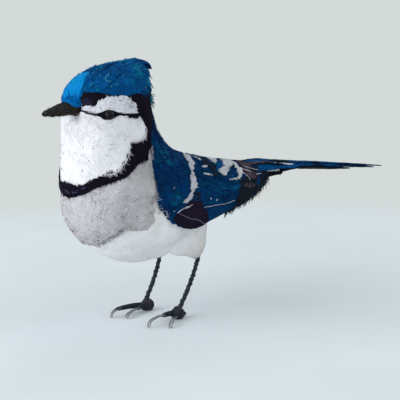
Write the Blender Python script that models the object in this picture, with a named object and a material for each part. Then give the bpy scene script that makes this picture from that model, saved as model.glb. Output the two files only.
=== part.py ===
# Stitched fabric bird: a stuffed fabric body covered with sewn-on fabric pieces, a felt beak, bead eyes,
# overlapping tail strips and two thread-bound wire legs with bare wire toes.
# Metres, +Z up. The bird faces -Y, its left side is +X and the floor is z = 0.

import bmesh
import bpy
import numpy as np
from mathutils import Vector

MM = 0.001

# Driving dimensions, in millimetres.
FABRIC = 0.9              # thickness of a sewn-on fabric piece
WING_FABRIC = 1.3         # thickness of the doubled fabric of the back and wings
SCRAP = 0.7               # thickness of a small scrap sewn on another piece
LIFT = 0.45               # air between the body and a piece, so that facets never touch
CHORD_ROOM = 0.15         # more air under a piece with large facets
SEAM = 0.3                # half the gap between neighbouring pieces
STACK = 0.35              # air between a piece and the scrap on top of it
CROWN_TURN = 5.3          # section where the crown turns down into the nape
CROWN_SPREAD = 1.2        # sections over which the turn's extra air and cloth fade out
CROWN_EXTRA = 0.35        # more air under the cap at the turn
CROWN_CLOTH = 0.2         # the cap's cloth is this much thicker at the turn
WING_STAND = 0.8          # more air under the wing where it leaves the body
WING_SPREAD = 1.5         # sections over which that air fades out

EYE_T, EYE_A = 3.2, 90.0  # place of the bead on the skin: section and angle
EYE_RADIUS = 2.9
EYE_HEIGHT = 2.4
BEAK_ROOT = (-127.1, 137.4)   # y and z of the middle of the beak's root
BEAK_LENGTH = 22.9
BEAK_DROOP = 3.4          # how far the tip lies below the root
BEAK_HALF_WIDTH = 5.2
BEAK_HALF_HEIGHT = 5.0
BEAK_TAPER = 1.3          # the half height shrinks as the root of 1 - u to this power
BEAK_BLUNT = 0.985        # leaves a small flat tip

# The tuft of the crest. Columns: y, z, half width, half height.
CREST = np.array([
    (-85.0, 164.9, 3.0, 0.25),
    (-81.0, 165.0, 6.0, 0.4),
    (-76.5, 164.1, 6.0, 0.7),
    (-72.5, 162.0, 3.6, 0.9),
    (-69.3, 159.3, 1.0, 0.6),
])

TAIL_ROOT = 27.0
TAIL_TIP = 150.0          # how far behind the origin the tail ends
TAIL_TOP = 93.6           # height of the top strip at its root
TAIL_SLOPE = 0.115
TAIL_ARCH = 0.014         # fall of the tail's sides at the root, per millimetre sideways squared
TAIL_FLATTEN = 0.8        # share of that arch that is gone at the tip
TAIL_CLOSE = 0.1          # share by which the strips draw together towards the tip
TAIL_THICKNESS = 0.8
TAIL_STACK = 0.3          # air between two strips
# Sideways place, how much shorter than the top strip and half width of each strip.
TAIL_STRIPS = [(0.0, 0.0, 5.2), (4.5, 11.0, 4.1), (-4.5, 11.0, 4.1), (7.6, 40.0, 3.6), (-7.6, 40.0, 3.6)]

# Legs: wire bound with thread, a knot at the foot, bound toe roots and bare wire toes. The wire of
# each leg is bent its own way: where it leaves the thigh (x), where it meets the knot, where the
# knot is, how long the hind lobe is, and the toes.
LEG_RADIUS = 1.15
WIRE_RADIUS = 0.45
LEG_BOW = 1.4             # how far a leg bends back in its middle
THIGH_CLEAR = 1.0         # air between the leg's top and the lobe above it
WIRE_CLEAR = 0.4          # air between a bound toe root and its bare wire
KNOT_SIZE = (3.3, 3.9, 4.0)
TOE_LOOP = 0.8            # half the distance between the two wires of a toe
TOE_HOOK = 5.5            # length over which a toe's wire bends down to the floor
# Columns of a toe: turn from straight ahead towards +X, bound length, whole length, arch height.
LEGS = {
    "left": dict(top=(16.5, -43.8), ankle=(18.4, -61.8, 6.4), knot=(18.9, -63.4, 3.3), hind=7.6,
                 toes=[(12.5, 13.5, 29.0, 5.0), (40.0, 6.5, 24.3, 3.0)]),
    "right": dict(top=(-15.0, -50.5), ankle=(-12.4, -65.4, 6.6), knot=(-11.2, -64.9, 3.3), hind=4.8,
                  toes=[(3.0, 24.0, 30.2, 5.0), (22.0, 10.0, 25.6, 3.4)]),
}

# The stuffed body is a row of egg-shaped sections. Each reaches across the median plane from a point on
# the back to a point on the front. Columns: back y, back z, front y, front z, half width, egg. The egg
# factor moves the widest place towards the back point (plus) or the front point (minus).
BODY = np.array([
    (-126.0, 140.8, -125.5, 133.5, 5.5, 0.0),
    (-125.0, 147.5, -126.6, 127.2, 12.6, 0.05),
    (-120.0, 153.8, -127.6, 118.8, 18.0, 0.12),
    (-109.7, 159.2, -129.0, 109.2, 22.2, 0.10),
    (-95.8, 162.0, -130.4, 98.7, 24.6, 0.04),
    (-82.2, 162.4, -131.4, 87.7, 25.7, -0.08),
    (-77.0, 154.7, -130.6, 76.2, 26.4, -0.20),
    (-76.2, 139.6, -128.2, 65.2, 28.4, -0.24),
    (-72.0, 122.4, -120.8, 54.6, 30.6, -0.17),
    (-59.0, 107.2, -109.3, 45.0, 32.6, -0.05),
    (-37.0, 99.8, -93.0, 38.0, 32.6, 0.08),
    (-17.0, 95.6, -74.0, 37.5, 26.8, 0.18),
    (2.0, 93.2, -58.0, 44.5, 21.5, 0.20),
    (18.0, 90.6, -48.0, 57.0, 16.0, 0.20),
    (31.0, 87.8, -24.0, 68.5, 11.5, 0.20),
    (40.0, 85.5, 6.0, 76.0, 8.0, 0.10),
    (45.0, 84.0, 34.0, 80.0, 5.0, 0.0),
])

# The folded wings follow the body in front and stand off it behind, from section 11 on.
WING_FROM = 11
WING = np.concatenate([BODY[:round(WING_FROM)], [
    (-17.0, 95.6, -77.0, 38.5, 31.0, 0.12),
    (2.0, 93.2, -60.0, 41.0, 27.2, 0.10),
    (18.0, 90.8, -40.0, 48.5, 21.8, 0.05),
    (31.0, 89.0, -18.0, 62.0, 16.5, 0.0),
    (41.0, 88.0, 10.0, 75.0, 13.0, 0.0),
    (47.0, 87.0, 38.0, 82.0, 8.0, 0.0),
]])

# Each thigh is a lobe under the belly that swells down to where the leg comes out.
THIGH = (15.5, -46.3, 35.4)   # x, y and height of its lowest point
THIGH_SIDE, THIGH_REAR, THIGH_AHEAD = 8.2, 6.5, 26.0    # how far it reaches from there
THIGH_HEIGHT = 24.0       # height of its bowl
THIGH_WALL = 30.0         # how steeply it ends outside the bowl
THIGH_BLEND = 2.5         # rounding where it meets the belly


def spline(rows, t):
    """Values of the rows at t, on a smooth curve through all rows at whole numbers of t."""
    n = len(rows)
    i = np.clip(np.floor(t).astype(int), 0, n - 2)
    u = (t - i)[..., None]
    p1, p2 = rows[i], rows[i + 1]
    p0 = np.where((i == 0)[..., None], 2 * p1 - p2, rows[np.maximum(i - 1, 0)])
    p3 = np.where((i == n - 2)[..., None], 2 * p2 - p1, rows[np.minimum(i + 2, n - 1)])
    return 0.5 * (2 * p1 + (p2 - p0) * u + (2 * p0 - 5 * p1 + 4 * p2 - p3) * u ** 2
                  + (3 * p1 - p0 - 3 * p2 + p3) * u ** 3)


def thigh_floor(x, y):
    """Height of the thigh lobe's underside above the floor at x, y."""
    dx = (np.abs(x) - THIGH[0]) / THIGH_SIDE
    dy = (y - THIGH[1]) / np.where(y < THIGH[1], THIGH_AHEAD, THIGH_REAR)
    d2 = dx ** 2 + dy ** 2
    bowl = THIGH_HEIGHT * (1 - np.sqrt(np.clip(1 - d2, 0, 1)))
    return THIGH[2] + bowl + THIGH_WALL * np.clip(d2 - 1, 0, None)


def skin(t, a, table=BODY):
    """Points of a surface at section t and angle a in degrees: 0 is the back, 90 the left side, 180 the
    front. A section's points lie on a straight chord in side view, with x = w sin a (1 + egg cos a)."""
    t, a = np.broadcast_arrays(np.asarray(t, float), np.radians(np.asarray(a, float)))
    r = spline(table, t)
    back, front = r[..., 0:2], r[..., 2:4]
    c = np.cos(a)[..., None]
    yz = (back + front) / 2 + (back - front) / 2 * c
    x = r[..., 4] * np.sin(a) * (1 + r[..., 5] * np.cos(a))
    z = yz[..., 1]
    if table is BODY:
        lobe = thigh_floor(x, yz[..., 0])
        h = np.clip(0.5 + 0.5 * (lobe - z) / THIGH_BLEND, 0, 1)
        low = z * h + lobe * (1 - h) - THIGH_BLEND * h * (1 - h)
        z = np.where(np.cos(a) < 0.2, np.minimum(z, low), z)
    return np.stack([x, yz[..., 0], z], axis=-1)


def skin_normal(t, a, table=BODY):
    """Outward unit normals of a surface, from small steps along t and a."""
    dt, da = 0.02, 1.0
    last = len(table) - 1
    along = skin(np.clip(t + dt, 0, last), a, table) - skin(np.clip(t - dt, 0, last), a, table)
    around = skin(t, a + da, table) - skin(t, a - da, table)
    n = np.cross(around, along)
    return n / np.linalg.norm(n, axis=-1, keepdims=True)


# Scene objects, meshes and materials.

def clear_scene():
    for old in list(bpy.data.objects):
        bpy.data.objects.remove(old)


def add_material(obj, colour, roughness):
    material = bpy.data.materials.new(obj.name)
    material.use_nodes = True
    shader = material.node_tree.nodes["Principled BSDF"]
    shader.inputs["Base Color"].default_value = (*colour, 1.0)
    shader.inputs["Roughness"].default_value = roughness
    obj.data.materials.append(material)


def add_object(name, bm, origin, colour, roughness=0.85):
    """An object from bmesh geometry in world millimetres, with its origin at a chosen point."""
    bmesh.ops.remove_doubles(bm, verts=bm.verts, dist=0.02)
    bmesh.ops.dissolve_degenerate(bm, edges=bm.edges, dist=0.001)
    bmesh.ops.triangulate(bm, faces=bm.faces)
    bmesh.ops.recalc_face_normals(bm, faces=bm.faces)
    for v in bm.verts:
        v.co = (v.co - Vector(origin)) * MM
    mesh = bpy.data.meshes.new(name)
    bm.to_mesh(mesh)
    bm.free()
    obj = bpy.data.objects.new(name, mesh)
    obj.location = Vector(origin) * MM
    bpy.context.scene.collection.objects.link(obj)
    add_material(obj, colour, roughness)
    return obj


def add_grid(bm, points, close_rows=False, close_columns=False):
    """Vertices and quads of a grid of points; returns the grid of vertices."""
    rows, columns = points.shape[:2]
    verts = [[bm.verts.new(points[i, j]) for j in range(columns)] for i in range(rows)]
    for i in range(rows if close_rows else rows - 1):
        for j in range(columns if close_columns else columns - 1):
            k, m = (i + 1) % rows, (j + 1) % columns
            bm.faces.new([verts[i][j], verts[k][j], verts[k][m], verts[i][m]])
    return verts


def add_tube(bm, rings):
    """A closed tube from rings of points, with a fan over each end."""
    verts = add_grid(bm, rings, close_columns=True)
    for ring, points in ((verts[0], rings[0]), (verts[-1], rings[-1])):
        centre = bm.verts.new(points.mean(axis=0))
        for j in range(len(ring)):
            bm.faces.new([ring[j], ring[(j + 1) % len(ring)], centre])


# Sewn-on fabric pieces, each a thin shell that follows a surface.

def pulled_in(points, gap, closed):
    """The grid with its outer rows and columns moved inwards along the surface by a gap."""
    out = points.copy()
    sides = [(np.s_[:, 0], np.s_[:, 1]), (np.s_[:, -1], np.s_[:, -2])]
    if not closed:
        sides += [(np.s_[0, :], np.s_[1, :]), (np.s_[-1, :], np.s_[-2, :])]
    for edge, inner in sides:
        step = points[inner] - points[edge]
        length = np.linalg.norm(step, axis=-1, keepdims=True)
        out[edge] += step / length * np.minimum(gap, 0.4 * length)
    return out


def add_shell(name, t, a, colour, lift=LIFT, thickness=FABRIC, closed=False, table=BODY):
    """A closed shell over the grid t, a of a surface. lift and thickness may vary over the grid."""
    base, normal = skin(t, a, table), skin_normal(t, a, table)
    low, high = np.broadcast_to(lift, t.shape), np.broadcast_to(lift + thickness, t.shape)
    inner = pulled_in(base + normal * low[..., None], SEAM, closed)
    outer = pulled_in(base + normal * high[..., None], SEAM, closed)
    bm = bmesh.new()
    low = add_grid(bm, inner, close_rows=closed)
    top = add_grid(bm, outer, close_rows=closed)
    rows, columns = t.shape
    rims = [([r[0] for r in low], [r[0] for r in top]), ([r[-1] for r in low], [r[-1] for r in top])]
    if not closed:
        rims += [(low[0], top[0]), (low[-1], top[-1])]
    for under, over in rims:
        count = len(under) if closed else len(under) - 1
        for k in range(count):
            m = (k + 1) % len(under)
            bm.faces.new([under[k], under[m], over[m], over[k]])
    return add_object(name, bm, inner[rows // 2, columns // 2], colour)


def refine(rows, parts):
    """The rows with each step between two of them split into equal parts."""
    rows = np.array(rows, float)
    at = np.linspace(0, len(rows) - 1, (len(rows) - 1) * parts + 1)
    return np.stack([np.interp(at, np.arange(len(rows)), rows[:, k]) for k in range(rows.shape[1])], axis=1)


def strip(rows, across, parts=1):
    """Grid between two edges. A row is t and a on the first edge, then t and a on the second."""
    rows = refine(rows, parts)
    v = np.linspace(0, 1, across + 1)
    t = rows[:, 0:1] + (rows[:, 2:3] - rows[:, 0:1]) * v
    a = rows[:, 1:2] + (rows[:, 3:4] - rows[:, 1:2]) * v
    return t, a


def both_sides(rows, middle):
    """Rows of the left side up to the middle, 0 or 180 degrees, and on over the right side."""
    rows = np.array(rows, float)
    other = rows[-2::-1].copy()
    other[:, 1::2] = 2 * middle - other[:, 1::2]
    return np.concatenate([rows, other])


def saddle(rows, across, parts=1):
    """Grid across the back from the left edge to the right. A row is t and a at the edge and t in the
    middle; between them t = edge + (middle - edge) (1 - v squared), with v from -1 to 1."""
    rows = refine(rows, parts)
    v = np.linspace(-1, 1, across + 1)
    t = rows[:, 0:1] + (rows[:, 2:3] - rows[:, 0:1]) * (1 - v ** 2)
    return t, rows[:, 1:2] * v


def sided(build, name, t, a, *args, **options):
    """The same piece on the left and on the right."""
    for side, sign in (("left", 1), ("right", -1)):
        build(f"{side}_{name}", t, a * sign, *args, **options)


# Seams of the head, shared by the pieces on both sides of each. Every row is t, a.
NOSE = 0.35               # section where the pieces stop short of the beak
NAPE_END = 9.0            # angle where the cap's rear edge turns across the nape
CAP_EDGE = [(0.90, 27), (1.45, 47), (2.25, 57.5), (3.0, 62.5), (3.4, 65), (4.0, 65.5), (4.75, 64.5),
            (5.5, 56), (6.0, 46), (6.3, 36), (6.4, 18), (6.43, NAPE_END)]
CAP_MIDDLE = [2.10, 2.45, 2.9, 3.3, 3.6, 4.0, 4.45, 4.95, 5.45, 5.85, 6.2, 6.44]
BROW_TOP = [(NOSE, 97), (0.6, 90), (1.05, 78), (1.95, 71), (2.6, 68), (3.4, 65), (4.0, 65.5), (4.75, 64.5),
            (5.2, 68), (5.5, 71.3)]
FACE_TOP = [(NOSE, 108), (0.6, 106), (1.05, 102), (2.1, 95), (3.2, 90), (4.0, 84), (4.5, 82), (5.0, 78),
            (5.55, 72), (6.65, 66)]
FACE_EDGE = [(6.65, 66), (6.6, 75), (6.22, 84), (5.68, 93), (6.0, 98), (6.02, 106), (5.95, 115),
             (5.45, 127), (5.10, 140), (5.02, 153), (4.88, 167), (4.78, 180)]
COLLAR_EDGE = [(7.3, 67), (7.4, 75), (7.2, 82), (6.95, 90), (6.82, 97), (6.66, 104), (6.5, 111),
               (6.0, 124), (5.62, 137), (5.44, 151), (5.36, 166), (5.35, 180)]
NAPE_T, NAPE_BOW = 7.3, 0.35   # the mantle's front edge: t at its corner, and how far it bows forward
WING_FRONT = 9.46


def nape_t(a):
    """Section of the mantle's front edge at angle a."""
    return NAPE_T - NAPE_BOW * (1 - (np.asarray(a) / COLLAR_EDGE[0][1]) ** 2)


def angle_on(seam, t):
    """Angle on a seam at section t."""
    seam = np.array(seam)
    return np.interp(t, seam[:, 0], seam[:, 1])


WHITE = (0.80, 0.81, 0.84)
LILAC = (0.58, 0.58, 0.64)
STONE = (0.56, 0.54, 0.53)
BLACK = (0.016, 0.013, 0.022)
ROYAL = (0.004, 0.075, 0.24)
AZURE = (0.006, 0.19, 0.56)
NAVY = (0.004, 0.045, 0.16)
AUBERGINE = (0.028, 0.014, 0.030)
BEAK_BROWN = (0.045, 0.038, 0.033)
BEAD = (0.006, 0.006, 0.007)
THREAD = (0.012, 0.022, 0.034)
STEEL = (0.55, 0.56, 0.58)


def build_body():
    t = np.concatenate([np.linspace(0, 2, 6)[:-1], np.linspace(2, 6.5, 13)[:-1],
                        np.linspace(6.5, 9.5, 9)[:-1], np.linspace(9.5, 13.4, 14)[:-1],
                        np.linspace(13.4, 16, 5)])
    a = np.linspace(0, 360, 26, endpoint=False)
    bm = bmesh.new()
    add_tube(bm, skin(t[:, None], a[None, :]))
    add_object("stuffed_body", bm, (0.0, THIGH[1], THIGH[2]), WHITE, 0.95)


def build_head():
    rows = [(t, a, m) for (t, a), m in zip(CAP_EDGE, CAP_MIDDLE)]
    t, a = saddle(rows, 10)
    rear = np.clip(1 - np.abs(t - CROWN_TURN) / CROWN_SPREAD, 0, 1)
    add_shell("crown_cap", t, a, ROYAL, lift=LIFT + CROWN_EXTRA * rear, thickness=FABRIC + CROWN_CLOTH * rear)

    t, a = saddle([(NOSE, 35, NOSE), (0.62, 31, 0.95), (CAP_EDGE[0][0], CAP_EDGE[0][1], CAP_MIDDLE[0])], 8, 2)
    add_shell("forehead_patch", t, a, AZURE)

    low = [(NOSE, 35)] + CAP_EDGE[:5]
    rows = [(*low[k], *BROW_TOP[k]) for k in range(6)]
    rows[-1] = (3.3, 63.9, 3.3, 66.0)
    t, a = strip(rows, 3)
    sided(add_shell, "lore_stripe", t, a, BLACK)

    at = np.array([NOSE, 0.6, 1.05, 1.5, 1.95, 2.6, 3.4, 4.0, 4.4, 4.75, 5.1, 5.35])
    t, a = strip(np.stack([at, angle_on(BROW_TOP, at), at, angle_on(FACE_TOP, at)], axis=1), 3)
    sided(add_shell, "brow_patch", t, a, LILAC)

    # A ray of the face runs from the beak to the lower edge, always the same share of the way from
    # the seam under the eye to the middle of the throat.
    ends = refine(FACE_EDGE, 1)
    share = (ends[:, 1] - angle_on(FACE_TOP, ends[:, 0])) / (180 - angle_on(FACE_TOP, ends[:, 0]))
    share[0] = 0.0
    steps = np.array([0, 0.10, 0.22, 0.36, 0.52, 0.68, 0.84, 1.0])
    t = NOSE + (ends[:, 0:1] - NOSE) * steps
    top = angle_on(FACE_TOP, t)
    a = top + (180 - top) * share[:, None]
    t, a = np.concatenate([t, t[-2::-1]]), np.concatenate([a, 360 - a[-2::-1]])
    add_shell("face_patch", t, a, WHITE, lift=LIFT + CHORD_ROOM)


def build_collar():
    """The black ring from the throat past the cheeks to the nape."""
    nape_in = [(6.44, 0)] + [CAP_EDGE[k] for k in (11, 10, 9, 8, 7, 6)] + [(5.2, 67.6), (5.5, 70.6)]
    nape_out = [0, NAPE_END, 18, 33, 42, 48, 53, 57, 61]
    rows = [(*edge, nape_t(turn), turn) for edge, turn in zip(nape_in, nape_out)]
    rows += [(*edge, *outer) for edge, outer in zip(FACE_EDGE, COLLAR_EDGE)]
    rows = both_sides(rows, 180)[:-1]
    t, a = strip(rows, 2)
    add_shell("black_collar", t, a, BLACK, lift=LIFT + CHORD_ROOM, closed=True)


def build_breast():
    lower = [(7.52, 71.0), (8.12, 80), (8.4, 88), (8.38, 94), (8.18, 99), (7.85, 106), (7.76, 116),
             (7.98, 127), (8.18, 141), (8.13, 152), (8.15, 166), (7.95, 180)]
    rows = [(*upper, *edge) for upper, edge in zip(COLLAR_EDGE, lower)]
    rows[0] = (7.32, 69.5, 7.5, 71.2)
    t, a = strip(both_sides(rows, 180), 4)
    add_shell("breast_patch", t, a, STONE, lift=LIFT + CHORD_ROOM)

    t, a = strip([(8.32, 98, 8.62, 97.5), (7.97, 106, 8.72, 106), (7.88, 115, 8.82, 114),
                  (8.10, 126, 8.62, 124)], 3, 2)
    sided(add_shell, "side_breast_patch", t, a, STONE)


def build_back():
    t, a = saddle([(NAPE_T, 67, NAPE_T - NAPE_BOW), (7.55, 70, 7.3), (7.8, 73, 7.65), (8.2, 80, 8.05),
                   (8.4, 85.5, 8.35), (8.6, 91, 8.65), (8.95, 96.5, 9.0), (WING_FRONT, 99.5, WING_FRONT)], 16)
    add_shell("mantle_patch", t, a, NAVY, lift=LIFT + CHORD_ROOM, thickness=WING_FABRIC)

    low = [(WING_FRONT, 99.0), (9.9, 101.5), (10.4, 102.5), (10.95, 100.5), (11.4, 93), (11.85, 87.5),
           (12.3, 84), (12.95, 79), (13.7, 65)]
    ridge = [WING_FRONT, 9.85, 10.3, 10.75, 11.2, 11.6, 12.0, 12.25, 12.45]
    t, a = strip([(top, 1.5, *edge) for top, edge in zip(ridge, low)], 9)
    clear = LIFT + CHORD_ROOM + WING_STAND * np.clip(1 - np.abs(t - WING_FROM) / WING_SPREAD, 0, 1)
    sided(add_shell, "wing", t, a, NAVY, lift=clear, thickness=WING_FABRIC, table=WING)

    over = dict(lift=LIFT + 3 * CHORD_ROOM + WING_FABRIC + STACK, thickness=SCRAP, table=WING)
    higher = dict(lift=LIFT + CHORD_ROOM + WING_STAND + WING_FABRIC + STACK, thickness=SCRAP, table=WING)
    t, a = strip([(9.30, 21, 9.58, 21), (9.30, 34, 9.58, 34), (9.37, 44, 9.59, 44), (9.46, 53, 9.64, 53),
                  (9.48, 61, 9.76, 62), (9.49, 69, 9.71, 70), (9.44, 77, 9.66, 78)], 1, 2)
    sided(add_shell, "wing_bar", t, a, WHITE, **over)
    t, a = strip([(9.44, 93.5, 9.52, 96.8), (9.62, 85, 9.75, 98.6), (9.86, 78, 10.05, 100.2),
                  (10.15, 79, 10.4, 100.8), (10.45, 82, 10.68, 100), (10.75, 88, 10.90, 98)], 3)
    sided(add_shell, "wing_dark_patch", t, a, AUBERGINE, **higher)
    t, a = strip([(11.0, 9, 11.52, 12), (10.92, 20, 11.40, 22), (10.74, 30, 11.05, 32),
                  (10.53, 38, 10.76, 41)], 1, 2)
    sided(add_shell, "wing_white_patch", t, a, WHITE, **higher)


def build_crest():
    """A flat tuft on the cap that points back over the nape."""
    bm = bmesh.new()
    turn = np.radians(np.arange(0, 360, 36))
    rings = [np.stack([w * np.cos(turn), y + 0 * turn, z + h * np.sin(turn)], axis=1)
             for y, z, w, h in CREST]
    add_tube(bm, np.array(rings))
    add_object("crest_tuft", bm, (0, CREST[0, 0], CREST[0, 1]), ROYAL)


def build_beak():
    """A blunt cone that droops a little, with oval sections."""
    u = np.array([0, 0.2, 0.42, 0.64, 0.82, 0.94, 1.0])
    size = np.sqrt(1 - BEAK_BLUNT * u ** BEAK_TAPER)[:, None]
    turn = np.radians(np.arange(0, 360, 30))
    y = (BEAK_ROOT[0] - BEAK_LENGTH * u)[:, None]
    z = (BEAK_ROOT[1] - BEAK_DROOP * u)[:, None]
    rings = np.stack([BEAK_HALF_WIDTH * size * np.cos(turn), y + 0 * turn,
                      z + BEAK_HALF_HEIGHT * size * np.sin(turn)], axis=-1)
    bm = bmesh.new()
    add_tube(bm, rings)
    add_object("beak", bm, (0, *BEAK_ROOT), BEAK_BROWN, 0.8)


def build_eyes():
    over = LIFT + FABRIC + STACK
    almond = [(-1.05, 3.4, 5.6), (-0.75, 0.0, 7.0), (-0.4, -3.5, 7.5), (0.0, -5.5, 6.5), (0.4, -7.5, 3.0),
              (0.7, -7.5, -1.5), (0.92, -7.2, -5.2)]
    t, a = strip([(EYE_T + along, EYE_A + up, EYE_T + along, EYE_A + low) for along, up, low in almond], 3)
    sided(add_shell, "eye_patch", t, a, BLACK, lift=over, thickness=SCRAP)
    for side, sign in (("left", 1), ("right", -1)):
        t0, a0 = np.array([EYE_T]), np.array([EYE_A * sign])
        up = Vector(skin_normal(t0, a0)[0])
        seat = Vector(skin(t0, a0)[0]) + up * (over + SCRAP + STACK)
        turn = up.to_track_quat("Z", "Y")
        lift = np.radians([0, 22, 45, 66])
        around = np.radians(np.arange(0, 360, 36))
        size = Vector((EYE_RADIUS, EYE_RADIUS, EYE_HEIGHT))
        rings = [[seat + turn @ (size * Vector((np.cos(e) * np.cos(r), np.cos(e) * np.sin(r), np.sin(e))))
                  for r in around] for e in lift]
        bm = bmesh.new()
        add_tube(bm, np.array(rings))
        add_object(f"{side}_eye", bm, seat, BEAD, 0.05)


def build_tail():
    """Five overlapping strips that slope down behind the body and draw together to the tip."""
    for number, (side, shorter, half) in enumerate(TAIL_STRIPS, start=1):
        layer = (number // 2) * (TAIL_THICKNESS + TAIL_STACK)
        tip = TAIL_TIP - shorter
        y = np.linspace(TAIL_ROOT, tip, 8)
        u = (y - TAIL_ROOT) / (tip - TAIL_ROOT)
        whole = ((y - TAIL_ROOT) / (TAIL_TIP - TAIL_ROOT))[:, None]
        width = half * (0.72 + 0.5 * u - 0.25 * u ** 2) * np.sqrt(1.06 - u ** 6)
        v = np.array([-1.0, -0.4, 0.4, 1.0])
        x = side * (1 - TAIL_CLOSE * whole) + width[:, None] * v
        arch = TAIL_ARCH * (1 - TAIL_FLATTEN * whole)
        top = TAIL_TOP - layer - TAIL_SLOPE * (y - TAIL_ROOT)[:, None] - arch * x ** 2
        bm = bmesh.new()
        grid = np.stack([x, np.broadcast_to(y[:, None], x.shape), top], axis=-1)
        upper = add_grid(bm, grid)
        lower = add_grid(bm, grid - np.array([0, 0, TAIL_THICKNESS]))
        rims = [(upper[0], lower[0]), (upper[-1], lower[-1]),
                ([r[0] for r in upper], [r[0] for r in lower]),
                ([r[-1] for r in upper], [r[-1] for r in lower])]
        for over, under in rims:
            for k in range(len(over) - 1):
                bm.faces.new([over[k], over[k + 1], under[k + 1], under[k]])
        colour = ROYAL if number == 1 else NAVY
        add_object(f"tail_strip_{number}", bm, (side, TAIL_ROOT, top[0, 1]), colour)


def tube_rings(path, radii, sides=7):
    """Rings of points around a path, each square to it."""
    path = np.asarray(path, float)
    ways = np.gradient(path, axis=0)
    rings = []
    for point, way, radius in zip(path, ways, radii):
        turn = Vector(way).to_track_quat("Z", "X")
        ring = [turn @ Vector((radius * np.cos(k), radius * np.sin(k), 0)) for k in
                np.arange(sides) * 2 * np.pi / sides]
        rings.append([point + np.array(p) for p in ring])
    return np.array(rings)


def toe_way(turn):
    """Unit vector over the floor of a toe that turns away from straight ahead."""
    return np.array([np.sin(np.radians(turn)), -np.cos(np.radians(turn)), 0.0])


def temporary(rings):
    bm = bmesh.new()
    add_tube(bm, rings)
    bmesh.ops.recalc_face_normals(bm, faces=bm.faces)
    mesh = bpy.data.meshes.new("piece")
    bm.to_mesh(mesh)
    bm.free()
    obj = bpy.data.objects.new("piece", mesh)
    bpy.context.scene.collection.objects.link(obj)
    return obj


def joined(pieces):
    """One closed mesh from overlapping closed pieces, in a bmesh."""
    first = pieces[0]
    for other in pieces[1:]:
        cut = first.modifiers.new("join", "BOOLEAN")
        cut.operation, cut.solver, cut.object = "UNION", "EXACT", other
    bpy.context.view_layer.update()
    shape = first.evaluated_get(bpy.context.evaluated_depsgraph_get())
    bm = bmesh.new()
    bm.from_mesh(shape.to_mesh())
    for piece in pieces:
        bpy.data.objects.remove(piece)
    return bm


def arched(heart, way, bound, length, rise, lift):
    """Points of a toe's middle line: level at the arch height from the binding on, then bent down in
    a quarter oval to the floor. lift keeps the end above the floor by the room that the tip needs."""
    level = np.linspace(bound, length - TOE_HOOK, 3)
    bend = np.radians([30, 60, 85])
    out = np.concatenate([level, length - TOE_HOOK * (1 - np.sin(bend))])
    height = np.concatenate([rise + 0 * level, lift + (rise - lift) * np.cos(bend)])
    return heart + way * out[:, None] + np.array([0, 0, 1.0]) * height[:, None]


def build_wire(name, heart, turn, bound, length, rise):
    """A bare wire that runs out, turns in a half circle at the tip and comes back beside itself."""
    way = toe_way(turn)
    across = np.array([-way[1], way[0], 0.0]) * TOE_LOOP
    line = arched(heart, way, bound + WIRE_CLEAR, length, rise, WIRE_RADIUS + TOE_LOOP)
    down = line[-1] - line[-2]
    down *= TOE_LOOP / np.linalg.norm(down)
    bend = np.radians([-45, 0, 45])[:, None]
    path = np.concatenate([line - across, line[-1] + down * np.cos(bend) + across * np.sin(bend),
                           line[::-1] + across])
    bm = bmesh.new()
    add_tube(bm, tube_rings(path, [WIRE_RADIUS] * len(path), 5))
    add_object(name, bm, path[0], STEEL, 0.35)


def build_leg(side, top, ankle, knot, hind, toes):
    """A leg in one piece with its knot, bound toe roots and hind lobe, cut flat at the floor."""
    top_z = float(thigh_floor(top[0], top[1])) - THIGH_CLEAR
    share = np.linspace(0, 1, 8)[:, None]
    leg = np.array(ankle) + (np.array([top[0], top[1], top_z]) - ankle) * share
    leg[:, 1:2] += LEG_BOW * 4 * share * (1 - share)
    leg = np.concatenate([[knot], leg])
    thick = LEG_RADIUS * np.array([1.25, 1.05, 1.0, 0.97, 1.0, 0.96, 1.0, 0.98, 1.0])
    pieces = [temporary(tube_rings(leg, thick))]

    lift = np.radians([-70, -35, 0, 30, 55, 78])
    around = np.radians(np.arange(0, 360, 40))
    ball = [[(np.cos(e) * np.cos(r), np.cos(e) * np.sin(r), np.sin(e)) for r in around] for e in lift]
    pieces.append(temporary(np.array(knot) + np.array(KNOT_SIZE) * np.array(ball)))

    heart = np.array([knot[0], knot[1], 0.0])
    for turn, bound, length, rise in toes:
        share = np.array([0.1, 0.4, 0.7, 0.93, 1.0])
        path = heart + toe_way(turn) * bound * share[:, None]
        path[:, 2] = knot[2] + (rise - knot[2]) * share
        pieces.append(temporary(tube_rings(path, [1.9, 1.75, 1.6, 1.4, 1.0])))
    share = np.array([0.15, 0.55, 0.9, 1.0])
    path = heart - toe_way(toes[0][0]) * hind * share[:, None]
    path[:, 2] = knot[2] - 0.4 - 1.1 * share
    pieces.append(temporary(tube_rings(path, [2.2, 2.1, 1.7, 0.9])))

    bm = joined(pieces)
    cut = bmesh.ops.bisect_plane(bm, geom=bm.verts[:] + bm.edges[:] + bm.faces[:], plane_co=(0, 0, 0),
                                 plane_no=(0, 0, -1), clear_outer=True)
    edges = [e for e in cut["geom_cut"] if isinstance(e, bmesh.types.BMEdge)]
    bmesh.ops.edgeloop_fill(bm, edges=edges)
    add_object(f"{side}_leg", bm, leg[-1], THREAD, 0.9)

    for number, (turn, bound, length, rise) in enumerate(toes, start=1):
        build_wire(f"{side}_toe_wire_{number}", heart, turn, bound, length, rise)


clear_scene()
build_body()
build_head()
build_collar()
build_breast()
build_back()
build_crest()
build_beak()
build_eyes()
build_tail()
for leg_side, shape in LEGS.items():
    build_leg(leg_side, **shape)
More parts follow.
